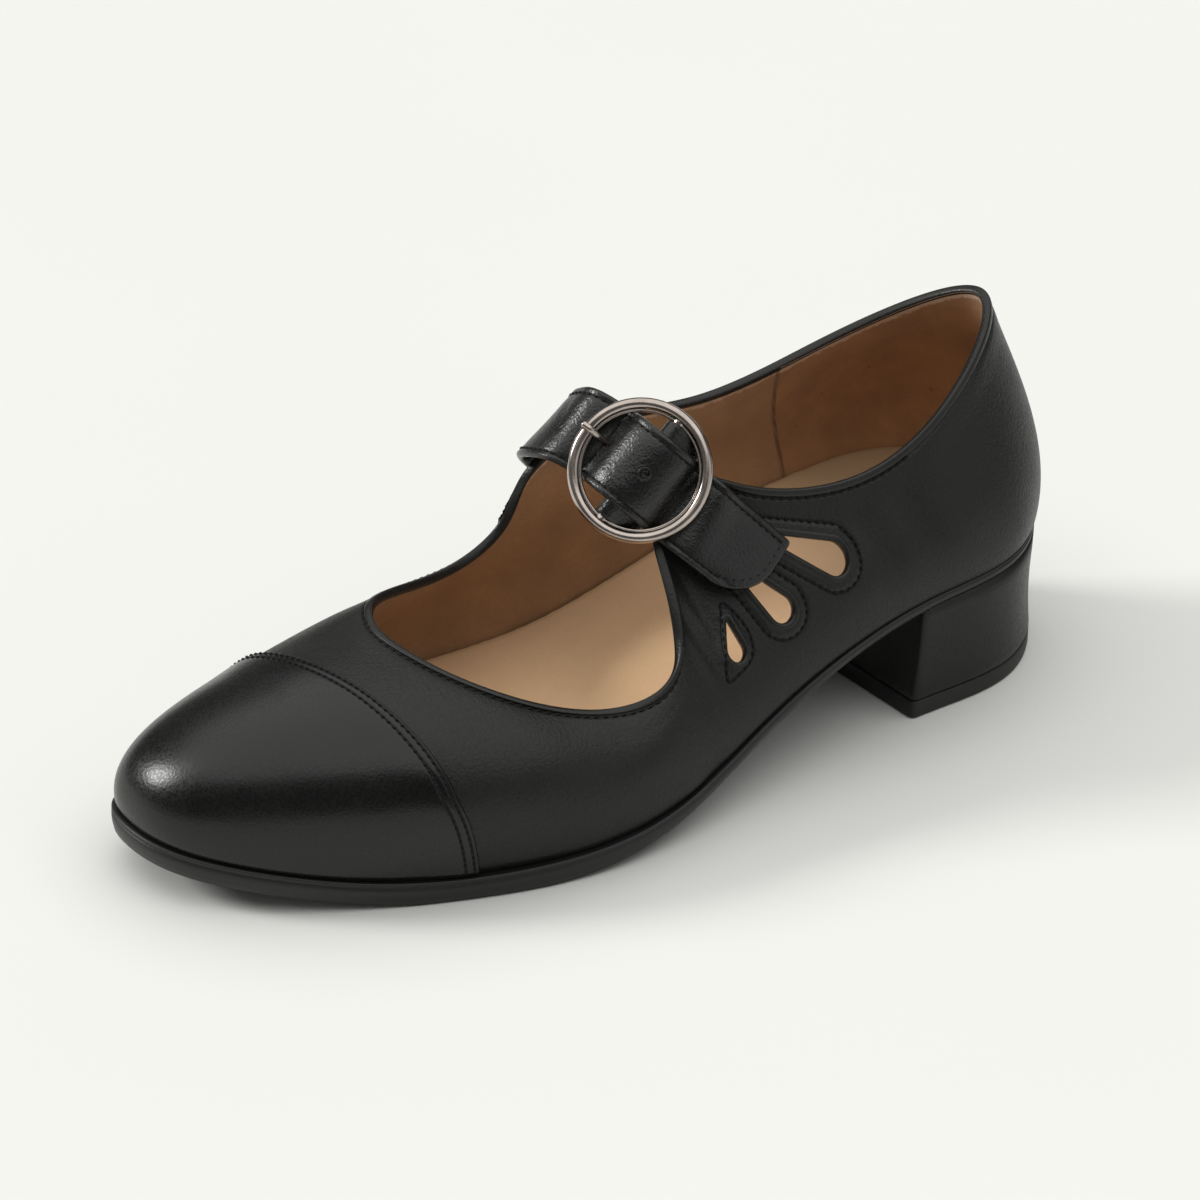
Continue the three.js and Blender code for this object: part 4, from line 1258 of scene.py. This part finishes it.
def strap_relief(s, w):
    """Creases, stitch grooves and the spare hole on the strap's upper face."""
    edge = 10.5 - np.abs(w)
    lift = -0.22 * np.exp(-((edge - 1.9) / 0.4) ** 2) + 0.14 * smooth(edge, 2.2, 5)
    for at, tilt, depth, reach in ((10.9, 0.02, 0.08, 0.2), (4.1, 0.03, 0.1, 0.25), (2.7, -0.02, 0.14, 0.2)):
        d = (s - at - tilt * w) / reach
        lift = lift - depth * np.exp(-d * d) * smooth(edge, 0.5, 4)
    return lift - 1.1 * (1 - smooth(np.hypot((s - SPARE_HOLE) * 8, w), 0.9, 1.3))


def make_strap(sizes):
    """The strap: two layers with rounded edges, edge stitching and a spare hole."""
    half = sizes.strap_width / MM / 2
    thick = sizes.strap_thickness / MM / 2
    arc = np.linspace(math.pi / 2, -math.pi / 2, 9)
    across = np.linspace(-half + 0.8, half - 0.8, 41)
    top = [(w, 1.0, True) for w in across]
    right = [(half - 0.8 + 0.8 * math.cos(a), math.sin(a), False) for a in arc]
    bottom = [(w, -1.0, False) for w in across[::-2]]
    left = [(-half + 0.8 - 0.8 * math.cos(a), -math.sin(a), False) for a in arc]
    profile = top + right[1:-1] + bottom + left[1:-1]
    w = np.array([q[0] for q in profile])
    h = np.array([q[1] for q in profile])
    is_top = np.array([q[1] > 0.3 for q in profile])
    rows = 330
    share = np.linspace(0, 1, rows)
    begin, stop = strap_start(w), strap_stop(w)
    s = begin[None, :] + (stop - begin)[None, :] * share[:, None]
    # the ends close with a rounded thickness
    left_over = (1 - share[:, None]) * (stop - begin)[None, :] * 7.3
    taper = np.sqrt(np.clip(1 - (1 - np.clip(left_over / 0.9, 0, 1)) ** 2, 0.02, 1))
    ww = np.broadcast_to(w, s.shape)
    height = h[None, :] * thick * taper
    height = height + np.where(is_top[None, :], strap_relief(s, ww), 0) * taper
    sink = 0.75 * (1 - smooth(s, STRAP_START, STRAP_START + 1.1))
    points = strap_point(s, ww, height - sink)
    columns = len(w)
    faces = strips(rows, columns, around=True)
    for start, flip in ((0, True), ((rows - 1) * columns, False)):
        face = tuple(range(start, start + columns))
        faces.append(face[::-1] if flip else face)
    new_piece("strap_leather", points.reshape(-1, 3), faces, MATERIALS["strap"], ("strap",))

    stitches = Stitches(sizes)
    inset = half - 1.9
    s_side = np.linspace(STRAP_START + 0.15, STRAP_END - 0.45, 600)
    rear = np.stack([s_side, np.full_like(s_side, -inset)], 1)
    stop_rear = strap_stop(np.array(-inset)) - 0.27
    rear = rear[rear[:, 0] < stop_rear]
    turn = np.linspace(-inset, inset, 60)
    round_end = np.stack([strap_stop(turn * 1.18) - 0.3, turn], 1)
    front_end = round_end[-1, 0]
    front = np.stack([s_side[::-1], np.full_like(s_side, inset)], 1)
    front = front[front[:, 0] < front_end]
    path = np.vstack([rear, round_end, front])
    lift = thick - 0.16 - 0.75 * (1 - smooth(path[:, 0], STRAP_START, STRAP_START + 1.1))
    on = strap_point(path[:, 0], path[:, 1], lift)
    _, _, out = strap_frame(path[:, 0])
    stitches.row(on, out, pitch=2.2)
    stitches.finish("strap_stitching", MATERIALS["thread"])
    make_strap_seam()
    make_hole_rim(thick)


def make_strap_seam():
    """The folded ridge where the strap is joined to the inner quarter."""
    w = np.linspace(-10.9, 10.9, 80)
    s = strap_start(w) - 0.02
    centre = strap_point(s, w, np.full_like(w, -0.35))
    _, _, out = strap_frame(s)
    way = unit(np.gradient(centre, axis=0))
    across = unit(np.cross(out, way))
    profile = smooth_ring([(-1.0, -0.4), (-0.6, 0.55), (0, 0.95), (0.6, 0.7), (1.0, -0.4), (0, -0.9)], 16)
    points, faces = sweep(centre, across, out, profile, closed=False)
    new_piece("strap_seam", points, faces, MATERIALS["edge"])


def make_hole_rim(thick):
    """The pressed rim round the strap's spare hole."""
    centre, width, out = (v[0] for v in strap_frame(np.array([SPARE_HOLE])))
    way = np.cross(out, width)
    profile = ((1.8, -0.15), (1.65, 0.03), (1.45, 0.07), (1.25, 0.0), (1.15, -0.4), (1.4, -0.45))
    turn = np.linspace(0, 2 * math.pi, 28, endpoint=False)
    circle = width * np.cos(turn)[:, None] + way * np.sin(turn)[:, None]
    level = thick + strap_relief(np.array(SPARE_HOLE), np.array(2.5))
    loops = [centre + out * (level + height) + radius * circle for radius, height in profile]
    points, faces = loft(loops, caps=False)
    new_piece("strap_hole_1", points, faces, MATERIALS["edge"])


# ---- buckle ----

BUCKLE_X = STRAP_AXIS
BUCKLE_Y = np.array([0, 0.8, 0]) - 0.6 * STRAP_UP
BUCKLE_Z = np.array([0, 0.6, 0]) + 0.8 * STRAP_UP


def in_buckle(x, y, z):
    """A point given along the bar, along the strap and out of the buckle."""
    x, y, z = np.broadcast_arrays(np.asarray(x, float), y, z)
    return BUCKLE + x[..., None] * BUCKLE_X + y[..., None] * BUCKLE_Y + z[..., None] * BUCKLE_Z


def tube(path, radius, sides, flat=1.0, hint=None):
    """A round or flattened rod along a path, its radius given at each point."""
    way = unit(np.gradient(path, axis=0))
    hint = np.asarray(hint if hint is not None else BUCKLE_X, float)
    across = unit(hint - way * (way @ hint)[:, None])
    rise = np.cross(way, across)
    radius = np.broadcast_to(radius, len(path))
    turn = np.linspace(0, 2 * math.pi, sides, endpoint=False)
    cos, sin = np.cos(turn)[:, None], flat * np.sin(turn)[:, None]
    loops = [path[i] + radius[i] * (cos * across[i] + sin * rise[i]) for i in range(len(path))]
    return loft(loops)


def make_buckle():
    """Ring with a ridged profile, centre bar and prong."""
    wire = RING_WIRE
    # out from the ring's middle, and height
    profile = smooth_ring([
        (-1.95, -0.6), (-2.0, 0.1), (-1.8, 0.45), (-1.5, 0.5), (-1.3, 0.55), (-1.05, 0.95),
        (-0.5, 1.35), (0.2, 1.5), (0.9, 1.3), (1.4, 0.75), (1.6, 0.0), (1.35, -0.95), (0.6, -1.45),
        (-0.4, -1.5), (-1.3, -1.3),
    ], 48)
    turn = np.linspace(0, 2 * math.pi, 200, endpoint=False)
    reach = RING_RADIUS + profile[:, 0]
    ring = in_buckle(np.cos(turn)[:, None] * reach, np.sin(turn)[:, None] * reach,
                     np.broadcast_to(profile[:, 1], (200, len(profile))))
    points = ring.reshape(-1, 3)
    faces = strips(200, len(profile), around=True, along=True)
    new_piece("buckle_ring", points, faces, MATERIALS["metal"], ("buckle_frame",))
    x = np.linspace(-RING_RADIUS, RING_RADIUS, 60)
    swell = BAR_RADIUS + 0.45 * smooth(np.abs(x), RING_RADIUS - wire - 1.4, RING_RADIUS - wire)
    points, faces = tube(in_buckle(x, 0, -BAR_DEPTH), swell, 24, hint=BUCKLE_Y)
    new_piece("buckle_bar", points, faces, MATERIALS["metal"])
    path = np.array(PRONG_PATH)
    at = open_curve(np.arange(len(path)), path[:, 0]), open_curve(np.arange(len(path)), path[:, 1])
    s = np.linspace(0, len(path) - 1, 70)
    s = np.concatenate([s, [s[-1] + 0.06, s[-1] + 0.1]])
    girth = PRONG_RADIUS * np.ones_like(s)
    girth[-1], girth[-2], girth[-3] = 0.3, 0.62, 0.8
    points, faces = tube(in_buckle(0, at[0](s), at[1](s)), girth, 20, flat=0.85)
    new_piece("buckle_prong_rod", points, faces, MATERIALS["metal"], ("buckle_prong",))
    turn = np.linspace(0, 2 * math.pi, 48, endpoint=False)
    eye = BAR_RADIUS + 0.78
    section = np.linspace(0, 2 * math.pi, 16, endpoint=False)
    loops = eye + 0.7 * np.cos(section)
    points = in_buckle(np.broadcast_to(0.9 * np.sin(section), (48, 16)),
                       np.cos(turn)[:, None] * loops, np.sin(turn)[:, None] * loops - BAR_DEPTH)
    faces = strips(48, 16, around=True, along=True)
    new_piece("buckle_prong_eye", points.reshape(-1, 3), faces, MATERIALS["metal"])


def make_tab():
    """The leather tab folded round the bar."""
    inside = BAR_RADIUS + GAP
    outside = inside + TAB_THICKNESS
    turn = np.linspace(1.05, 2 * math.pi - 1.4, 40)
    outer = [(7.9, -4.5), (8.8, -3.1)]
    outer += list(zip(np.linspace(8.2, 1.6, 8), np.linspace(-2.75, outside - BAR_DEPTH - 0.42, 8)))
    outer += [(outside * math.cos(a), outside * math.sin(a) - BAR_DEPTH) for a in turn]
    ring = softened(resample(np.array(outer + outer[:1]), 120, closed=True), 3)
    middle = ring.mean(0)
    levels = []
    ends = ((0, 0.86), (0.2, 0.96), (0.5, 1))
    for x, shrink in [(-TAB_HALF + d, k) for d, k in ends] + [(TAB_HALF - d, k) for d, k in ends[::-1]]:
        q = middle + (ring - middle) * shrink
        levels.append(in_buckle(x, q[:, 0], q[:, 1]))
    points, faces = loft(levels)
    new_piece("buckle_tab_leather", points, faces, MATERIALS["strap"], ("buckle_tab",))


# ---- stage ----

CAMERA_FROM = np.array([632.5, 1000.9, 781.5])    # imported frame, millimetres
CAMERA_AIM = np.array([0.0, 0.0, 43.0])
CAMERA_LENS = 170.0


def make_floor(colour):
    mesh = bpy.data.meshes.new("floor")
    size = 6.0
    corners = [(-size, -size, 0), (size, -size, 0), (size, size, 0), (-size, size, 0)]
    mesh.from_pydata(corners, [], [(0, 1, 2, 3)])
    r = Recipe("matt_table")
    clouds = r.noise(300, 2)
    r.join(r.mix(r.ramp(clouds, 0.3, 0.7), shade(colour, 0.99), shade(colour, 1.01)),
           r.shader.inputs["Base Color"])
    r.set(Roughness=0.7)
    mesh.materials.append(r.material)
    floor = bpy.data.objects.new("floor", mesh)
    bpy.context.collection.objects.link(floor)


def make_sun(name, toward, power, angle, colour):
    """A far, wide light: an even glow on the floor and soft shadows."""
    light = bpy.data.lights.new(name, "SUN")
    light.energy = power
    light.angle = math.radians(angle)
    light.color = colour
    lamp = bpy.data.objects.new(name, light)
    lamp.rotation_euler = Vector(toward).to_track_quat("Z", "Y").to_euler()
    bpy.context.collection.objects.link(lamp)


def make_world():
    world = bpy.data.worlds.new("studio")
    world.use_nodes = True
    background = world.node_tree.nodes["Background"]
    background.inputs["Color"].default_value = (1.0, 1.0, 0.985, 1)
    background.inputs["Strength"].default_value = 0.14
    bpy.context.scene.world = world
    bpy.context.scene.view_settings.view_transform = "Standard"


def make_camera():
    camera = bpy.data.cameras.new("camera")
    camera.lens = CAMERA_LENS
    camera.sensor_width = 36
    camera.clip_start, camera.clip_end = 0.05, 20
    rig = bpy.data.objects.new("camera", camera)
    rig.location = Vector(CAMERA_FROM * MM)
    way = Vector((CAMERA_AIM - CAMERA_FROM) * MM)
    rig.rotation_euler = way.to_track_quat("-Z", "Y").to_euler()
    bpy.context.collection.objects.link(rig)
    bpy.context.scene.camera = rig


# ---- operators ----

class ShoeOperator:
    """What every operator of this add-on shares."""
    bl_options = {"REGISTER", "UNDO"}

    def execute(self, context):
        scene = context.scene
        if not MATERIALS:
            make_materials(scene.shoe_colours, scene.shoe_sizes)
        self.build(scene)
        return {"FINISHED"}


class SHOE_OT_upper(ShoeOperator, bpy.types.Operator):
    """Build the outer leather, lining, folded topline and cut-out edges"""
    bl_idname = "shoe.upper"
    bl_label = "Upper"

    def build(self, scene):
        make_outer_leather()
        make_lining()
        make_topline()
        make_cutout_edges()


class SHOE_OT_toe_cap(ShoeOperator, bpy.types.Operator):
    """Build the toe cap"""
    bl_idname = "shoe.toe_cap"
    bl_label = "Toe Cap"

    def build(self, scene):
        make_toe_cap()


class SHOE_OT_stitching(ShoeOperator, bpy.types.Operator):
    """Sew the rows of stitches on the upper"""
    bl_idname = "shoe.stitching"
    bl_label = "Stitching"

    def build(self, scene):
        make_stitching(scene.shoe_sizes)


class SHOE_OT_sole(ShoeOperator, bpy.types.Operator):
    """Build the outsole and the sock inside the shoe"""
    bl_idname = "shoe.sole"
    bl_label = "Sole and Sock"

    def build(self, scene):
        make_outsole()
        make_insole()


class SHOE_OT_heel(ShoeOperator, bpy.types.Operator):
    """Build the covered heel and its top piece"""
    bl_idname = "shoe.heel"
    bl_label = "Heel"

    def build(self, scene):
        make_heel()


class SHOE_OT_strap(ShoeOperator, bpy.types.Operator):
    """Build the strap with its seam, stitching and spare hole"""
    bl_idname = "shoe.strap"
    bl_label = "Strap"

    def build(self, scene):
        make_strap(scene.shoe_sizes)


class SHOE_OT_buckle(ShoeOperator, bpy.types.Operator):
    """Build the buckle's ring, bar and prong, and the tab that carries it"""
    bl_idname = "shoe.buckle"
    bl_label = "Buckle"

    def build(self, scene):
        make_buckle()
        make_tab()


class SHOE_OT_stage(ShoeOperator, bpy.types.Operator):
    """Set the floor, lights and camera"""
    bl_idname = "shoe.stage"
    bl_label = "Stage"

    def build(self, scene):
        make_floor(scene.shoe_colours.floor)
        make_world()
        make_sun("fill", (-0.5, 0.8, 0.35), 0.3, 50, (1, 1, 1))
        make_sun("window", (0.67, -0.56, 0.48), 1.65, 15, (1, 0.995, 0.98))
        make_sun("sky", (-0.05, -0.08, 1.0), 2.15, 95, (1, 1, 0.985))
        make_camera()


class SHOE_PT_panel(bpy.types.Panel):
    """Sidebar panel with the shoe's settings and steps"""
    bl_idname = "SHOE_PT_panel"
    bl_label = "Mary Jane Pump"
    bl_space_type = "VIEW_3D"
    bl_region_type = "UI"
    bl_category = "Shoe"

    def draw(self, context):
        scene = context.scene
        for group in (scene.shoe_sizes, scene.shoe_colours):
            box = self.layout.box()
            for name in group.__annotations__:
                box.prop(group, name)
        for step in STEPS:
            self.layout.operator(step.bl_idname)


STEPS = (
    SHOE_OT_stage, SHOE_OT_upper, SHOE_OT_toe_cap, SHOE_OT_stitching, SHOE_OT_sole,
    SHOE_OT_heel, SHOE_OT_strap, SHOE_OT_buckle,
)
CLASSES = (ShoeSizes, ShoeColours, *STEPS, SHOE_PT_panel)


def register():
    for cls in CLASSES:
        bpy.utils.register_class(cls)
    bpy.types.Scene.shoe_sizes = bpy.props.PointerProperty(type=ShoeSizes)
    bpy.types.Scene.shoe_colours = bpy.props.PointerProperty(type=ShoeColours)


def unregister():
    del bpy.types.Scene.shoe_colours
    del bpy.types.Scene.shoe_sizes
    for cls in reversed(CLASSES):
        bpy.utils.unregister_class(cls)


def main():
    register()
    bpy.ops.shoe.stage()
    bpy.ops.shoe.upper()
    bpy.ops.shoe.toe_cap()
    bpy.ops.shoe.stitching()
    bpy.ops.shoe.sole()
    bpy.ops.shoe.heel()
    bpy.ops.shoe.strap()
    bpy.ops.shoe.buckle()


if __name__ == "__main__":
    main()
